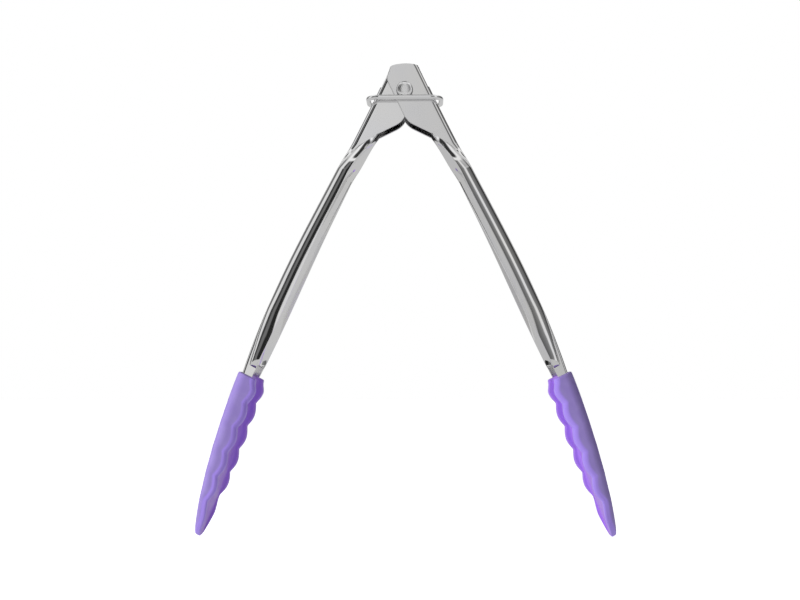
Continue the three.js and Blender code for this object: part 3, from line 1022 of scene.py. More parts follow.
@dataclass
class ScallopedSleeve:
    """The silicone sleeve over an arm's end: a scalloped scoop with a rounded lip.

    Attributes:
        place: Frame that carries the sleeve to its side.
        profile: Outline of the arm that it grips.
        cover: Distance from the steel's face to the sleeve's face.
        root_wall: Wall thickness over the steel.
        end_wall: Wall thickness at the tip's end.
        lip: How far the lip stands past the steel's edge.
        lip_top: The same at the sleeve's top edge.
        scallops: Number of scallops on each lip.
        scallop_depth: Depth of the valleys between them.
        draft: How far the sides lean in towards the lips, in degrees.
        painted_lip_band: Width of the band along the lip whose colour is painted lighter, standing in
            for light through the thin silicone.
        lip_round: Rounding of the lip's outer side.
        inner_round: Rounding of its inner side.
        scoop_bend: Rounding inside, between the floor of the scoop and its sides.
        top_round: Rounding of the sleeve's top end.
        pocket_gap: Clearance round the steel.
    """

    place: ArmFrame
    profile: ArmProfile
    cover: float = 1.6
    root_wall: float = 5.0
    end_wall: float = 2.3
    lip: float = 4.2
    lip_top: float = 2.4
    scallops: int = 5
    scallop_depth: float = 1.5
    draft: float = 4.0
    painted_lip_band: float = 3.2
    lip_round: float = 3.0
    inner_round: float = 0.8
    scoop_bend: float = 2.4
    top_round: float = 0.7
    pocket_gap: float = 0.12

    def _end(self) -> float:
        """Return the distance down to the tip's end."""
        return self.profile.length + self.profile.tip_length

    def _round_off(self, down: float) -> float:
        """Return 1 along the sleeve, falling to 0 as an ellipse at its end.

        Args:
            down: Distance down the arm from the rivet's axis.

        Returns:
            The share, from 0 to 1.
        """
        start = self._end() - self.profile.tip_round
        along = clamp((down - start) / self.profile.tip_round)
        return math.sqrt(max(0.0, 1 - along**2))

    def _lip_edge(self, down: float) -> float:
        """Return the sleeve's free edge with its scallops.

        Args:
            down: Distance down the arm from the rivet's axis.

        Returns:
            Place across the arm, positive towards the other arm.
        """
        profile = self.profile
        pitch = (profile.tip_length - profile.tip_round / 2) / self.scallops
        past = clamp(down - profile.length, 0, self.scallops * pitch)
        valley = 1 - abs(math.sin(math.pi * past / pitch))
        start = smoothstep(past, 0, pitch / 2)
        stop = self._end() - profile.tip_round / 2
        finish = 1 - smoothstep(down, stop, stop + profile.tip_round / 4)
        return (
            profile.edge(down)
            + lerp(self.lip_top, self.lip, start)
            - self.scallop_depth * valley * start * finish
        )

    def _wall(self, down: float) -> float:
        """Return the wall thickness."""
        share = smoothstep(down, self.profile.steel_end, self._end())
        return lerp(self.root_wall, self.end_wall, share)

    def _section(self, down: float, inset: float) -> list[Vector]:
        """Return one closed section of the sleeve.

        Args:
            down: Distance down the arm.
            inset: How far the section is drawn in, to round the sleeve's ends.

        Returns:
            Points in the arm's frame, in order round the section.
        """
        profile = self.profile
        wall = self._wall(down)
        half = max((profile.half_width(down) + self.cover) * self._round_off(down) - inset, 0.02)
        back = profile.back(down) - self.cover
        edge = max(self._lip_edge(down), back + wall + 0.02)
        back, edge = back + inset, edge - inset
        wall = max(wall - 2 * inset, 0.02)
        inner_half = max(half - wall, 0.01)
        inner_back = min(back + wall, edge - 0.01)
        bend = min(profile.head_bend + self.cover, 0.45 * (edge - back), 0.9 * half)
        round_out = min(self.lip_round, 0.5 * (edge - back - bend), 0.5 * (half - inner_half))
        lean = math.tan(math.radians(self.draft)) * min(1.0, (half - inner_half) / 3.0)
        round_in = min(self.inner_round, 0.4 * (edge - inner_back), 0.3 * (half - inner_half))
        inner_bend = min(self.scoop_bend, 0.5 * (edge - inner_back), 0.7 * inner_half)
        path: list[tuple[float, float]] = []
        for i in range(7):
            path.append(((half - bend) * i / 7, back))
        for a in spread(0, math.pi / 2, math.pi / 16):
            path.append((half - bend * (1 - math.sin(a)), back + bend * (1 - math.cos(a))))
        for i in range(1, 5):
            inward = lerp(back + bend, edge - round_out, i / 5)
            path.append((half - lean * (inward - back - bend), inward))
        shoulder = half - lean * (edge - round_out - back - bend)
        for a in spread(0, math.pi / 2, math.pi / 16):
            path.append((
                shoulder - round_out * 0.8 * (1 - math.cos(a)),
                edge - round_out * (1 - math.sin(a)),
            ))
        for a in spread(0, math.pi / 2, math.pi / 12):
            path.append((inner_half + round_in * (1 - math.sin(a)), edge - round_in * (1 - math.cos(a))))
        for i in range(1, 4):
            path.append((inner_half, lerp(edge - round_in, inner_back + inner_bend, i / 4)))
        for a in spread(0, math.pi / 2, math.pi / 12):
            path.append((
                inner_half - inner_bend * (1 - math.cos(a)),
                inner_back + inner_bend * (1 - math.sin(a)),
            ))
        for i in range(1, 7):
            path.append(((inner_half - inner_bend) * (1 - i / 7), inner_back))
        mirrored = [(-across, inward) for across, inward in reversed(path[1:])]
        middle = [(0.0, inner_back)]
        return [Vector((across, inward, down)) for across, inward in [*path, *middle, *mirrored]]

    def shape(self) -> ClosedShape:
        """Return the sleeve's body, before the pocket is cut, in the arm's frame.

        Returns:
            The shape, closed at both ends.
        """
        top, end = self.profile.length, self._end()
        nose = self.end_wall / 2
        rings = []
        for a in spread(math.pi / 2, 0.2, math.pi / 10):
            down = top + self.top_round * (1 - math.sin(a))
            rings.append(self._section(down, self.top_round * (1 - math.cos(a))))
        for down in spread(top + self.top_round + 0.2, end - nose, 0.75):
            rings.append(self._section(down, 0.0))
        for a in spread(0.0, math.pi / 2, math.pi / 16)[1:]:
            down = end - nose + nose * math.sin(a) * 0.999
            rings.append(self._section(down, nose * (1 - math.cos(a))))
        return loft(rings)

    def _pocket(self) -> ClosedShape:
        """Return the room that the steel takes, with a hair of clearance, in the arm's frame.

        Returns:
            The closed shape of the room.
        """
        profile, gap = self.profile, self.pocket_gap
        wall = profile.sheet + gap
        rings = []
        for down in spread(profile.length - 1.5, profile.steel_end + gap, 1.5):
            half, back = profile.flat_half(down), profile.back(down)
            edge, bend = profile.edge(down) + gap, profile.bend(down) + gap
            inner = max(bend - wall, 0.15)
            path = []
            for a in spread(0, math.pi / 2, math.pi / 12):
                path.append((
                    half + gap - bend * (1 - math.sin(a)),
                    back - gap + bend * (1 - math.cos(a)),
                ))
            path += [(half + gap, edge), (half - wall, edge)]
            for a in spread(0, math.pi / 2, math.pi / 6):
                path.append((
                    half - wall - inner * (1 - math.cos(a)),
                    back + wall + inner * (1 - math.sin(a)),
                ))
            mirrored = [(-across, inward) for across, inward in reversed(path)]
            rings.append([Vector((across, inward, down)) for across, inward in path + mirrored])
        return loft(rings)

    def _cut_pocket(self, piece: bpy.types.Object, side: Side) -> None:
        """Cut the room for the steel out of the sleeve.

        Args:
            piece: The sleeve.
            side: The side of the pair.
        """
        room = self.place.seat(side, self._pocket())
        cutter = room.to_object("pocket", piece.data.materials[0])
        heal(cutter)
        cut = piece.modifiers.new("pocket", "BOOLEAN")
        cut.operation = "DIFFERENCE"
        cut.solver = "EXACT"
        cut.object = cutter
        bake_modifiers(piece)
        bpy.data.objects.remove(cutter)

    def _map_lip(self, piece: bpy.types.Object, side: Side) -> None:
        """Give the sleeve a map with its inner side in U and the nearness to the lip in V: the masks of
        the painted light on the silicone.

        Args:
            piece: The sleeve.
            side: The side of the pair.
        """
        layer = piece.data.uv_layers.new(name="lip")
        places = [self.place.local(side, vertex.co) for vertex in piece.data.vertices]
        for loop in piece.data.loops:
            across, inward, down = places[loop.vertex_index]
            half = (self.profile.half_width(down) + self.cover) * self._round_off(down)
            outside = smoothstep(abs(across), half - self._wall(down), half - 1.0)
            near = 1 - clamp((self._lip_edge(down) - inward) / self.painted_lip_band)
            deep = self.profile.back(down) - self.cover + 0.6 * self._wall(down)
            inner = smoothstep(inward, deep - 0.5, deep + 0.5) * (1 - outside)
            layer.data[loop.index].uv = (inner, near * outside)

    def build(self, side: Side, material: bpy.types.Material) -> bpy.types.Object:
        """Make one sleeve.

        Args:
            side: The side of the pair.
            material: Silicone.

        Returns:
            The finished sleeve, riding on its arm's body.
        """
        name = side.name.lower()
        piece = self.place.seat(side, self.shape()).to_object(f"{name}_silicone_tip", material)
        heal(piece)
        self._cut_pocket(piece, side)
        self._map_lip(piece, side)
        piece.data.shade_smooth()
        piece.data.set_sharp_from_angle(angle=math.radians(50))
        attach(piece, f"{name}_arm")
        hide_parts(f"{name}_tip")
        return piece


# ---- Pivot --------------------------------------------------------------------------------


@dataclass
class TurnedPart:
    """A part turned about the rivet's axis.

    Attributes:
        name: Name of the piece.
        node: Node that the piece stands for.
        profile: Places (radius, along the axis), in order, closed at the axis or on itself.
        height: Height of the axis.
        sides: Faces round the part.
    """

    name: str
    node: str
    profile: list[tuple[float, float]]
    height: float
    sides: int = 72

    def build(self, material: bpy.types.Material) -> bpy.types.Object:
        """Make the turned part, riding on the pivot.

        Args:
            material: Finish of the part.

        Returns:
            The finished object.
        """
        rings = []
        for i in range(self.sides):
            turn = 2 * math.pi * i / self.sides
            rings.append([
                Vector((r * math.cos(turn), y, self.height + r * math.sin(turn))) * MM
                for r, y in self.profile
            ])
        piece = loft(rings, round_trip=True).to_object(self.name, material)
        heal(piece)
        piece.data.shade_smooth()
        piece.data.set_sharp_from_angle(angle=math.radians(38))
        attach(piece, "pivot")
        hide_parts(self.node)
        return piece


@dataclass
class RivetPivot:
    """The rivet with its two domed heads, and the spacer tube on it.

    Attributes:
        height: Height of the axis.
        shank: Radius of the shank.
        head: Radius of a head.
        dome: Height of a head.
        dome_power: Below 1, the dome is flatter on top and rounder at its side.
        rim: Height of the head's straight side.
        seat: Distance of the ears' outer face from the middle.
        gap: Clearance under a head.
        edge_cut: Size of the broken edges.
        tube_inner: Inner radius of the tube.
        tube_outer: Outer radius of the tube.
        tube_half: Half of the tube's length.
    """

    height: float
    shank: float = 2.0
    head: float = 3.7
    dome: float = 2.0
    dome_power: float = 0.68
    rim: float = 0.35
    seat: float = 7.8
    gap: float = 0.02
    edge_cut: float = 0.12
    tube_inner: float = 2.3
    tube_outer: float = 3.1
    tube_half: float = 4.9

    def _rivet_profile(self) -> list[tuple[float, float]]:
        """Return the rivet's half outline from one end of the axis to the other.

        Returns:
            Places (radius, along the axis).
        """
        half = []
        bulge = self.dome - self.rim
        for turn in spread(0, math.pi / 2, math.pi / 28):
            across = max(math.sin(turn), 0.0) ** self.dome_power
            rise = max(math.cos(turn), 0.0) ** self.dome_power
            half.append((self.head * across, self.seat + self.rim + bulge * rise))
        under = self.seat + self.gap
        half += [(self.head, self.seat + self.rim * 0.3), (self.head - self.edge_cut, under)]
        half.append((self.shank, under))
        return half + [(r, -y) for r, y in reversed(half)]

    def _tube_profile(self) -> list[tuple[float, float]]:
        """Return the closed outline of the tube's wall, with broken edges.

        Returns:
            Places (radius, along the axis).
        """
        low, high, half, cut = self.tube_inner, self.tube_outer, self.tube_half, self.edge_cut
        corner = [(low + cut, half), (high - cut, half), (high, half - cut)]
        corner += [(high, -half + cut), (high - cut, -half), (low + cut, -half)]
        return corner + [(low, -half + cut), (low, half - cut)]

    def build(self, material: bpy.types.Material) -> list[bpy.types.Object]:
        """Make the rivet and the tube.

        Args:
            material: Polished steel.

        Returns:
            Both pieces.
        """
        rivet = TurnedPart("rivet", "pivot_rivet", self._rivet_profile(), self.height)
        tube = TurnedPart("spacer", "spacer_tube", self._tube_profile(), self.height)
        return [rivet.build(material), tube.build(material)]


# ---- Wire -----------------------------------------------------------------------------------


class WireSweep(NodeBench):
    """A node tree that draws round wire along a path of edges."""

    def __init__(self) -> None:
        """Build the tree once, for every wire of the object."""
        super().__init__(bpy.data.node_groups.new("wire along a path", "GeometryNodeTree"))
        face = self.tree.interface
        for name, kind, default in (
            ("Path", "Geometry", None),
            ("Wire Radius", "Float", 0.001),
            ("Spacing", "Float", 0.001),
            ("Sides", "Int", 16),
            ("Finish", "Material", None),
        ):
            socket = face.new_socket(name, in_out="INPUT", socket_type=f"NodeSocket{kind}")
            if default is not None:
                socket.default_value = default
        face.new_socket("Wire", in_out="OUTPUT", socket_type="NodeSocketGeometry")
        self.inputs = {
            item.name: item.identifier for item in face.items_tree if item.in_out == "INPUT"
        }
        self._wire_up()

    def _wire_up(self) -> None:
        """Place the nodes: path to curve, round section, sweep, real mesh and finish."""
        given = self.add("NodeGroupInput").outputs
        curve = self.add("GeometryNodeMeshToCurve", {"Mesh": given["Path"]})
        even = self.add(
            "GeometryNodeResampleCurve",
            {"Curve": curve.outputs["Curve"], "Length": given["Spacing"]},
            mode="LENGTH",
        )
        section = self.add(
            "GeometryNodeCurvePrimitiveCircle",
            {"Resolution": given["Sides"], "Radius": given["Wire Radius"]},
        )
        sweep = self.add("GeometryNodeCurveToMesh", {
            "Curve": even.outputs["Curve"],
            "Profile Curve": section.outputs["Curve"],
            "Fill Caps": True,
        })
        smooth = self.add("GeometryNodeSetShadeSmooth", {"Geometry": sweep.outputs["Mesh"]})
        real = self.add("GeometryNodeRealizeInstances", {"Geometry": smooth.outputs["Geometry"]})
        dress = self.add(
            "GeometryNodeSetMaterial",
            {"Geometry": real.outputs["Geometry"], "Material": given["Finish"]},
        )
        self.add("NodeGroupOutput", {"Wire": dress.outputs["Geometry"]})

    def draw(
        self,
        name: str,
        path: Sequence[Vector],
        closed: bool,
        radius: float,
        spacing: float,
        sides: int,
        material: bpy.types.Material,
    ) -> bpy.types.Object:
        """Make one piece of wire.

        Args:
            name: Name of the piece.
            path: Points along the wire's middle, in metres.
            closed: True if the wire joins its own start.
            radius: Wire radius in millimetres.
            spacing: Distance between its sections in millimetres.
            sides: Faces round the wire.
            material: Finish of the wire.

        Returns:
            The wire as a plain closed mesh.
        """
        mesh = bpy.data.meshes.new(name)
        count = len(path)
        edges = [(i, (i + 1) % count) for i in range(count if closed else count - 1)]
        mesh.from_pydata([p[:] for p in path], edges, [])
        piece = bpy.data.objects.new(name, mesh)
        bpy.context.collection.objects.link(piece)
        sweep = piece.modifiers.new("wire", "NODES")
        sweep.node_group = self.tree
        sweep[self.inputs["Wire Radius"]] = radius * MM
        sweep[self.inputs["Spacing"]] = spacing * MM
        sweep[self.inputs["Sides"]] = sides
        sweep[self.inputs["Finish"]] = material
        bake_modifiers(piece)
        heal(piece)
        piece.data.shade_smooth()
        piece.data.set_sharp_from_angle(angle=math.radians(60))
        return piece


@dataclass
class LockRing:
    """The wire ring that holds the arms shut when it slides down.

    Attributes:
        sweep: The tree that draws wire.
        wire: Wire radius.
        corner: Bend radius of the corners, at the wire's middle.
    """

    sweep: WireSweep
    wire: float = 1.05
    corner: float = 5.0

    def build(self, material: bpy.types.Material) -> bpy.types.Object:
        """Make the ring.

        Args:
            material: Polished wire.

        Returns:
            The ring, riding on its own body.
        """
        low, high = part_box("lock_ring")
        middle = (low + high) / 2
        half_x = (high.x - low.x) / 2 / MM - self.wire
        half_y = (high.y - low.y) / 2 / MM - self.wire
        path = []
        for quarter in range(4):
            sign_x = 1 if quarter in (0, 3) else -1
            sign_y = 1 if quarter < 2 else -1
            for share in spread(0, 1, 1 / 14):
                turn = math.pi / 2 * (quarter + share)
                offset = Vector((
                    sign_x * (half_x - self.corner) + self.corner * math.cos(turn),
                    sign_y * (half_y - self.corner) + self.corner * math.sin(turn),
                    0,
                ))
                path.append(middle + offset * MM)
        piece = self.sweep.draw("wire_lock_ring", path, True, self.wire, 0.45, 28, material)
        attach(piece, "lock_ring")
        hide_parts("lock_ring")
        return piece


@dataclass
class TorsionSpring:
    """The coil on the spacer, with one leg to each arm, as two halves of one wire.

    Attributes:
        sweep: The tree that draws wire.
        place: Frame of the arms.
        profile: Outline of the arm that a leg presses on.
        wire: Wire radius.
        coil: Radius of the coil at the wire's middle.
        turns: Whole turns of the coil.
        space: Air between the turns.
        reach: How far down the arm each leg presses.
        press_gap: Clearance between a leg and the web.
        hold: Depth off the middle where a half would let go of the coil; not used.
    """

    sweep: WireSweep
    place: ArmFrame
    profile: ArmProfile
    wire: float = 0.85
    coil: float = 4.25
    turns: int = 3
    space: float = 0.35
    reach: float = 36.0
    press_gap: float = 0.3
    hold: float = 2.55

    def _path(self) -> list[Vector]:
        """Return the left half of the wire's middle line, about the rivet's axis, foot first.

        Returns:
            The points, in millimetres.
        """
        web = self.profile.back(self.reach) + self.profile.sheet
        press = web + self.press_gap + self.wire
        foot = self.place.turn(Side.LEFT, Vector((0, press, self.reach)))
        distance = math.hypot(foot.x, foot.z)
        start = math.atan2(foot.z, foot.x) - math.acos(self.coil / distance) + 2 * math.pi
        sweep = 2 * start - math.pi + 2 * math.pi * self.turns
        rise = (2 * self.wire + self.space) * sweep / (2 * math.pi)
        points = []
        steps = 90
        for i in range(steps + 1):
            share = 0.5 * i / steps
            angle = start - sweep * share
            points.append(
                Vector((self.coil * math.cos(angle), rise * (share - 0.5), self.coil * math.sin(angle)))
            )
        toe = Vector((foot.x, -rise * 0.5, foot.z))
        leg = [toe.lerp(points[0], share) for share in spread(0, 0.97, 0.97 / 10)]
        return [*leg, *points]

    def build(self, material: bpy.types.Material) -> list[bpy.types.Object]:
        """Make both halves of the wire, the left and the right.

        Args:
            material: Spring wire.

        Returns:
            The left half and the right half.
        """
        halves = []
        axis = Vector((0, 0, self.place.height))
        for side in Side:
            sign = -side.value
            path = [
                (Vector((sign * p.x, sign * p.y, p.z)) + axis) * MM for p in self._path()
            ]
            name = side.name.lower()
            piece = self.sweep.draw(
                f"{name}_spring_half", path, False, self.wire, 0.5, 20, material
            )
            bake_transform(piece)
            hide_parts("torsion_spring")
            halves.append(piece)
        return halves


# ---- Finishes -------------------------------------------------------------------------------


class ShaderGroup(NodeBench):
    """A shader node group with named inputs and outputs."""

    def __init__(self, name: str, inputs: dict[str, float | None], outputs: Sequence[str]) -> None:
        """Make an empty group.

        Args:
            name: Name of the group.
            inputs: Default of each number input, or None for a vector input.
            outputs: Names of the number outputs.
        """
        super().__init__(bpy.data.node_groups.new(name, "ShaderNodeTree"))
        face = self.tree.interface
        for label, default in inputs.items():
            kind = "NodeSocketVector" if default is None else "NodeSocketFloat"
            socket = face.new_socket(label, in_out="INPUT", socket_type=kind)
            if default is not None:
                socket.default_value = default
        for label in outputs:
            face.new_socket(label, in_out="OUTPUT", socket_type="NodeSocketFloat")
        self.given = self.add("NodeGroupInput").outputs

    def give(self, **results: bpy.types.NodeSocket) -> None:
        """Join the results to the group's outputs of the same names."""
        self.add("NodeGroupOutput", results)


def polishing_lines() -> ShaderGroup:
    """Build the group for fine polishing lines along a part.

    Returns:
        A group that takes a place, a scale and a stretch, and puts out a height and a mask.
    """
    group = ShaderGroup(
        "polishing lines", {"Place": None, "Scale": 900.0, "Stretch": 0.03}, ("Height", "Mask")
    )
    given = group.given
    squeeze = group.add("ShaderNodeCombineXYZ", {0: 1.0, 1: 1.0, 2: given["Stretch"]})
    place = group.add(
        "ShaderNodeVectorMath", {0: given["Place"], 1: squeeze.outputs[0]}, operation="MULTIPLY"
    ).outputs[0]
    fine = group.add(
        "ShaderNodeTexNoise",
        {"Vector": place, "Scale": given["Scale"], "Detail": 3.0, "Roughness": 0.6},
    )
    broad = group.add(
        "ShaderNodeTexNoise", {"Vector": given["Place"], "Scale": 55.0, "Detail": 2.0}
    )
    mask = group.ranged(broad.outputs["Fac"], 0.0, 1.0, start=0.35, stop=0.7)
    group.give(Height=fine.outputs["Fac"], Mask=mask)
    return group


def handling_film() -> ShaderGroup:
    """Build the group for the thin film that handling and washing leave.

    Returns:
        A group that takes a place and a scale, and puts out a mask.
    """
    group = ShaderGroup("handling film", {"Place": None, "Scale": 120.0}, ("Mask",))
    cloud = group.add("ShaderNodeTexNoise", {
        "Vector": group.given["Place"],
        "Scale": group.given["Scale"],
        "Detail": 5.0,
        "Roughness": 0.55,
        "Distortion": 0.4,
    })
    group.give(Mask=group.ranged(cloud.outputs["Fac"], 0.0, 1.0, start=0.42, stop=0.68, smooth=True))
    return group


@dataclass
class Workshop:
    """The shader groups that the finishes share.

    Attributes:
        lines: Fine polishing lines.
        film: Thin film of handling and washing.
    """

    lines: ShaderGroup = field(default_factory=polishing_lines)
    film: ShaderGroup = field(default_factory=handling_film)


class Finish(NodeBench):
    """A material in the making: the Principled shader and the helpers to feed it."""

    def __init__(self, name: str) -> None:
        """Make a material with only its shader and output.

        Args:
            name: Name of the material.
        """
        self.material = bpy.data.materials.new(name)
        self.material.use_nodes = True
        super().__init__(self.material.node_tree)
        self.shader = self.tree.nodes["Principled BSDF"]
        self.coords = self.add("ShaderNodeTexCoord").outputs
        self.place = self.coords["Object"]

    def turned(self, degrees: float) -> bpy.types.NodeSocket:
        """Turn Object coordinates about Y, so that Z runs along an arm.

        Args:
            degrees: Angle of the arm from the vertical.

        Returns:
            The turned coordinates.
        """
        turn = (0.0, math.radians(degrees), 0.0)
        return self.add("ShaderNodeMapping", {"Vector": self.place, "Rotation": turn}).outputs[0]

    def use(
        self, group: ShaderGroup, place: bpy.types.NodeSocket, **values: float
    ) -> bpy.types.NodeOutputs:
        """Place a shared group with its own values.

        Args:
            group: The group.
            place: Coordinates for it.
            values: Its other inputs.

        Returns:
            The outputs of the placed group.
        """
        return self.add(
            "ShaderNodeGroup", {"Place": place, **values}, node_tree=group.tree
        ).outputs

    def sleeve_map(self) -> tuple[bpy.types.NodeSocket, bpy.types.NodeSocket]:
        """Read the map of a sleeve, the masks of the painted light on the silicone.

        Returns:
            The shares of the inner side and of the lip, from 0 to 1.
        """
        parts = self.add("ShaderNodeSeparateXYZ", {0: self.coords["UV"]}).outputs
        return parts["X"], self.ranged(parts["Y"], 0.0, 1.0, start=0.05, stop=0.45, smooth=True)

    def around(self, height: float, low: float, high: float) -> bpy.types.NodeSocket:
        """Make a mask that rises with the distance from an axis along Y.

        Args:
            height: Height of the axis, in metres.
            low: Distance where the mask starts to rise.
            high: Distance where it reaches 1.

        Returns:
            The mask, from 0 to 1.
        """
        across = self.add("ShaderNodeMapping", {
            "Vector": self.place,
            "Location": (0.0, 0.0, -height),
            "Scale": (1.0, 0.0, 1.0),
        })
        radius = self.add("ShaderNodeVectorMath", {0: across.outputs[0]}, operation="LENGTH")
        return self.ranged(radius.outputs["Value"], 0.0, 1.0, start=low, stop=high, smooth=True)

    def bump(self, height: bpy.types.NodeSocket, strength: float, distance: float) -> None:
        """Feed a height to the shader's normal.

        Args:
            height: The height.
            strength: Strength of the effect.
            distance: Depth that a height of 1 stands for, in metres.
        """
        node = self.add(
            "ShaderNodeBump", {"Height": height, "Strength": strength, "Distance": distance}
        )
        self.feed(self.shader, {"Normal": node.outputs["Normal"]})


@dataclass(frozen=True)
class PolishedSteel:
    """Bright stainless steel with faint polishing lines.

    Attributes:
        name: Name of the material.
        tone: Lightness of the metal.
        low: Roughness where it is clean.
        high: Roughness where it has a film.
        grain: Strength of the polishing lines.
        lean: Angle of the lines from the vertical, in degrees.
        warmth: How much the tone drifts between cool and warm.
        axis: Height of the axis of a turned part, in metres.
        painted_shade_ring: Radii between which a dark ring of painted shade lies round that axis, in
            metres; it draws the dark outline of the rivet's head.
        painted_shade_colour: Colour of that painted shade.
    """

    name: str
    tone: float = 0.84
    low: float = 0.07
    high: float = 0.13
    grain: float = 0.05
    lean: float = 0.0
    warmth: float = 0.012
    axis: float = 0.0
    painted_shade_ring: tuple[float, float] | None = None
    painted_shade_colour: Colour = (0.16, 0.16, 0.165)

    def material(self, shop: Workshop) -> bpy.types.Material:
        """Return the material, made from the shared groups.

        Args:
            shop: The shared groups.

        Returns:
            The material.
        """
        finish = Finish(self.name)
        lines = finish.use(shop.lines, finish.turned(self.lean), Scale=2600.0, Stretch=0.02)
        film = finish.use(shop.film, finish.place, Scale=90.0)
        tone, warm = self.tone, self.warmth
        cool = (tone - warm, tone - warm, tone)
        colour = finish.mixed(lines["Mask"], cool, (tone + warm, tone + warm / 2, tone - warm / 2))
        # Painted shade: a dark ring round the axis draws the outline of the rivet's head.
        if self.painted_shade_ring:
            colour = finish.mixed(finish.around(self.axis, *self.painted_shade_ring), colour, self.painted_shade_colour)
        finish.feed(finish.shader, {
            "Base Color": colour,
            "Roughness": finish.ranged(film["Mask"], self.low, self.high),
            "Metallic": 1.0,
        })
        finish.bump(lines["Height"], self.grain, 0.00004)
        return finish.material


@dataclass(frozen=True)
class SatinSilicone:
    """Purple food silicone with a satin skin.

    Attributes:
        name: Name of the material.
        deep: Colour of the clean skin: the silicone's own colour, greyed by a painted sheen.
        lip: Colour of the thin lip, lighter than the skin: painted light, standing in for light through
            the thin silicone.
        inner: Colour of the inner side, lighter and more saturated than the skin: painted light on the
            inside of the scoop.
        pale: Colour where the skin is dusted or worn.
        low: Roughness of the clean skin.
        high: Roughness where it is dusted.
    """

    name: str = "violet silicone"
    deep: Colour = (0.325, 0.240, 0.63)
    pale: Colour = (0.350, 0.265, 0.65)
    lip: Colour = (0.43, 0.29, 0.95)
    inner: Colour = (0.45, 0.235, 0.90)
    low: float = 0.40
    high: float = 0.56

    def material(self, shop: Workshop) -> bpy.types.Material:
        """Return the material, made from the shared groups.

        Args:
            shop: The shared groups.

        Returns:
            The material.
        """
        finish = Finish(self.name)
        film = finish.use(shop.film, finish.place, Scale=210.0)
        skin = finish.add(
            "ShaderNodeTexNoise", {"Vector": finish.place, "Scale": 3800.0, "Detail": 2.0}
        )
        inside, painted_lip_light = finish.sleeve_map()
        colour = finish.mixed(film["Mask"], self.deep, self.pale)
        # Painted light: the inner side takes a lighter, more saturated copy of the silicone.
        colour = finish.mixed(inside, colour, self.inner)
        # Painted light: the band along the lip is lighter, as if light shone through the thin silicone.
        finish.feed(finish.shader, {
            "Base Color": finish.mixed(painted_lip_light, colour, self.lip),
            "Roughness": finish.ranged(film["Mask"], self.low, self.high),
            "Specular IOR Level": 0.45,
        })
        finish.bump(skin.outputs["Fac"], 0.12, 0.00006)
        return finish.material


# ---- Studio ---------------------------------------------------------------------------------


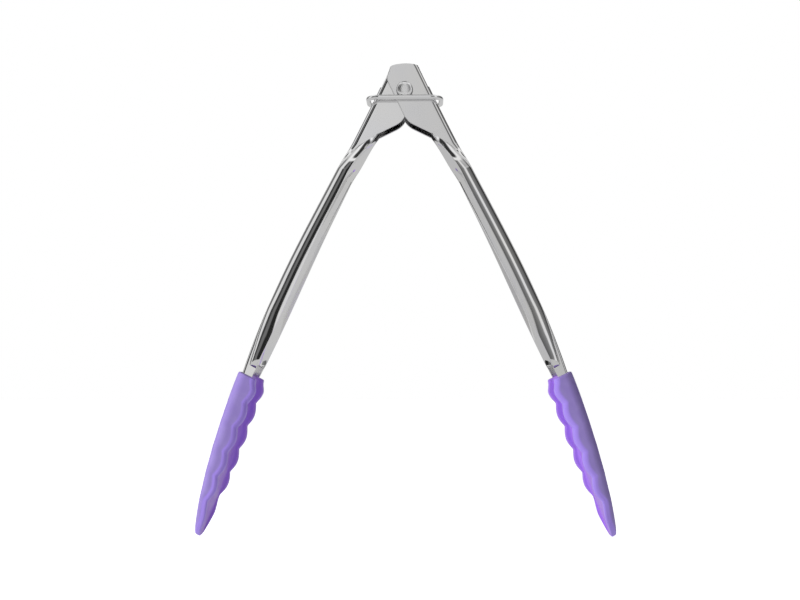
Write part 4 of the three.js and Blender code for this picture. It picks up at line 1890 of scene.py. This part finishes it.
@dataclass
class Studio:
    """Camera, floor and the light around the object.

    Attributes:
        eye: Place of the camera, in metres.
        tilt: How far the camera looks up, in degrees.
        pan: How far it is turned to the left, in degrees.
        lens: Focal length for a 36 mm wide film.
        bands: Light round the object: angle from the camera's side towards the left, in
            degrees, and brightness there.
        overhead: Brightness of the panel above the object.
        overhead_rise: Height in the sky, as a share of straight up, where that panel starts.
        overhead_gap: The same for the dark gap straight above.
        overhead_dark: Brightness of that gap.
        matt_share: Share of the panels' light that matt surfaces get.
        lamp_place: Place of the soft lamp at the left, in metres.
        lamp_power: Its power, in watts.
        lamp_size: Its width and height, in metres.
        lamp_aim: Place that it points at, in metres.
        floor_rings: Radii of the floor's rings of faces, in metres.
        floor_drop: How far the floor lies below the object, in metres.
        floor_glow: Strength of the floor's own light.
        floor_mirrored: Brightness of the floor in mirrors and as a light.
    """

    eye: tuple[float, float, float] = (0.00898, -0.600, 0.06444)
    tilt: float = 3.8438
    pan: float = 1.0694
    lens: float = 60.27
    bands: tuple[tuple[float, float], ...] = (
        (-180, 0.60),
        (-142, 0.60),
        (-136, 0.05),
        (-112, 0.05),
        (-108, 0.12),
        (-67, 0.24),
        (-62, 0.85),
        (-46, 0.85),
        (-40, 0.28),
        (-28, 0.20),
        (-14, 0.12),
        (-9, 0.55),
        (9, 0.78),
        (12, 0.02),
        (32, 0.02),
        (36, 0.17),
        (50, 0.17),
        (56, 0.05),
        (70, 0.05),
        (75, 0.80),
        (104, 0.80),
        (112, 0.17),
        (140, 0.17),
        (148, 0.60),
        (180, 0.60),
    )
    overhead: float = 0.95
    overhead_rise: tuple[float, float] = (0.62, 0.80)
    overhead_gap: tuple[float, float] = (0.90, 0.96)
    overhead_dark: float = 0.04
    matt_share: float = 0.52
    lamp_place: tuple[float, float, float] = (-0.52, -0.30, 0.22)
    lamp_power: float = 3.0
    lamp_size: float = 0.3
    lamp_aim: tuple[float, float, float] = (0.0, 0.0, 0.05)
    floor_rings: tuple[float, ...] = (0.5, 1.2, 3.0, 8.0)
    floor_drop: float = 0.0002
    floor_glow: float = 0.85
    floor_mirrored: float = 0.6

    def camera(self) -> None:
        """Make the camera and use it."""
        data = bpy.data.cameras.new("camera")
        data.lens = self.lens
        data.sensor_width = 36.0
        data.clip_start = 0.01
        data.clip_end = 50.0
        camera = bpy.data.objects.new("camera", data)
        camera.location = self.eye
        camera.rotation_euler = (math.radians(90 + self.tilt), 0.0, math.radians(self.pan))
        bpy.context.collection.objects.link(camera)
        bpy.context.scene.camera = camera
        bpy.context.scene.view_settings.view_transform = "Standard"

    def _disc(self, sides: int = 48) -> ClosedShape:
        """Draw the floor as a round sheet.

        Args:
            sides: Faces round it.

        Returns:
            The sheet, facing up.
        """
        disc = ClosedShape(points=[Vector((0, 0, -self.floor_drop))])
        for radius in self.floor_rings:
            for i in range(sides):
                turn = 2 * math.pi * i / sides
                place = (radius * math.cos(turn), radius * math.sin(turn), -self.floor_drop)
                disc.points.append(Vector(place))
        for i in range(sides):
            j = (i + 1) % sides
            disc.faces.append((0, 1 + i, 1 + j))
            for ring in range(len(self.floor_rings) - 1):
                a, b = 1 + ring * sides, 1 + (ring + 1) * sides
                disc.faces.append((a + i, b + i, b + j, a + j))
        return disc

    def floor(self) -> None:
        """Lay the pale floor."""
        finish = Finish("white studio floor")
        grain = finish.add("ShaderNodeTexNoise", {"Vector": finish.place, "Scale": 60.0})
        finish.feed(finish.shader, {
            "Base Color": finish.mixed(grain.outputs["Fac"], (0.93,) * 3, (0.95,) * 3),
            "Roughness": 0.9,
            "Emission Color": (1, 1, 1, 1),
            "Emission Strength": self.floor_glow,
        })
        grey = (self.floor_mirrored,) * 3
        surface = finish.add("ShaderNodeMixShader", {
            0: finish.add("ShaderNodeLightPath").outputs["Is Camera Ray"],
            1: finish.add("ShaderNodeEmission", {"Color": (*grey, 1)}).outputs[0],
            2: finish.shader.outputs[0],
        })
        finish.feed(finish.tree.nodes["Material Output"], {"Surface": surface.outputs[0]})
        floor = self._disc().to_object("studio_floor", finish.material)

    def _round_light(
        self, bench: NodeBench, direction: bpy.types.NodeOutputs
    ) -> bpy.types.NodeSocket:
        """Light the space round the object by the bands.

        Args:
            bench: The world's nodes.
            direction: Parts X, Y and Z of the direction of view.

        Returns:
            Half of the brightness, because a ramp's colours end at 1.
        """
        left, near = (
            bench.add("ShaderNodeMath", {0: direction[axis], 1: -1.0}, operation="MULTIPLY")
            for axis in "XY"
        )
        angle = bench.add(
            "ShaderNodeMath", {0: left.outputs[0], 1: near.outputs[0]}, operation="ARCTAN2"
        )
        share = bench.ranged(angle.outputs[0], 0.0, 1.0, start=-math.pi, stop=math.pi)
        curve = bench.add("ShaderNodeValToRGB", {"Fac": share})
        stops = curve.color_ramp.elements
        for i, (degrees, light) in enumerate(self.bands):
            place = degrees / 360 + 0.5
            stop = stops[i] if i < 2 else stops.new(place)
            stop.position = place
            stop.color = (light / 2, light / 2, light / 2, 1)
        return curve.outputs["Color"]

    def sky(self) -> None:
        """Light the object with broad panels and the dark gaps between them."""
        world = bpy.data.worlds.new("studio light")
        bpy.context.scene.world = world
        world.use_nodes = True
        world.node_tree.nodes.clear()
        bench = NodeBench(world.node_tree)
        view = bench.add("ShaderNodeTexCoord").outputs["Generated"]
        direction = bench.add("ShaderNodeSeparateXYZ", {0: view}).outputs
        rise, fall = self.overhead_rise, self.overhead_gap
        over = bench.ranged(
            direction["Z"], self.overhead / 2, self.overhead_dark / 2, start=fall[0], stop=fall[1]
        )
        light = bench.add("ShaderNodeMix", {
            0: bench.ranged(direction["Z"], 0.0, 1.0, start=rise[0], stop=rise[1]),
            6: self._round_light(bench, direction),
            7: over,
        }, data_type="RGBA").outputs[2]
        ray = bench.add("ShaderNodeLightPath").outputs
        strength = bench.ranged(ray["Is Diffuse Ray"], 2.0, 2.0 * self.matt_share)
        panels = bench.add("ShaderNodeBackground", {"Color": light, "Strength": strength})
        plain = bench.add("ShaderNodeBackground", {"Color": (1, 1, 1, 1), "Strength": 1.0})
        surface = bench.add("ShaderNodeMixShader", {
            0: ray["Is Camera Ray"],
            1: panels.outputs[0],
            2: plain.outputs[0],
        })
        bench.add("ShaderNodeOutputWorld", {"Surface": surface.outputs[0]})

    def lamp(self) -> None:
        """Add the soft lamp at the left, which the polished steel doesn't mirror."""
        data = bpy.data.lights.new("soft lamp", "AREA")
        data.size = self.lamp_size
        data.energy = self.lamp_power
        lamp = bpy.data.objects.new("soft lamp", data)
        lamp.location = self.lamp_place
        aim = Vector(self.lamp_aim) - lamp.location
        lamp.rotation_euler = aim.to_track_quat("-Z", "Y").to_euler()
        lamp.visible_glossy = False
        bpy.context.collection.objects.link(lamp)

    def build(self) -> None:
        """Set up the floor and the light."""
        self.floor()
        self.sky()
        self.lamp()


def report(*pieces: bpy.types.Object) -> None:
    """Log each finished piece with its number of faces."""
    for piece in pieces:
        LOG.info("%s: %d faces", piece.name, len(piece.data.polygons))


def main() -> None:
    """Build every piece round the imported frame."""
    logging.basicConfig(level=logging.INFO, format="%(name)s: %(message)s")
    studio = Studio()
    studio.camera()
    low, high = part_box("pivot_rivet")
    height = (low.z + high.z) / 2 / MM
    place = ArmFrame(height=height)
    profile = ArmProfile()
    shop = Workshop()
    silicone = SatinSilicone().material(shop)
    for side in Side:
        lean = side.value * place.open_angle
        # Painted shade: the right arm's steel gets a darker tone than the left's, as if less light fell
        # on it.
        tone = 0.86 if side is Side.LEFT else 0.80
        steel = PolishedSteel(f"polished {side.name.lower()} arm", tone=tone, lean=lean)
        steel = steel.material(shop)
        report(StampedArm(place, profile).build(side, steel))
        report(ScallopedSleeve(place, profile).build(side, silicone))
    bright = PolishedSteel(
        "bright rivet steel",
        tone=0.97,
        low=0.27,
        high=0.33,
        axis=height * MM,
        # Painted shade: the dark ring round the head's rim lies between these radii.
        painted_shade_ring=(3.3 * MM, 3.65 * MM),
    ).material(shop)
    report(*RivetPivot(height).build(bright))
    sweep = WireSweep()
    wire = PolishedSteel("bright ring wire", low=0.05, high=0.10, grain=0.02).material(shop)
    report(LockRing(sweep).build(wire))
    spring_wire = PolishedSteel("spring wire", tone=0.62, low=0.2, high=0.3).material(shop)
    report(*TorsionSpring(sweep, place, profile).build(spring_wire))
    studio.build()


if __name__ == "__main__":
    main()
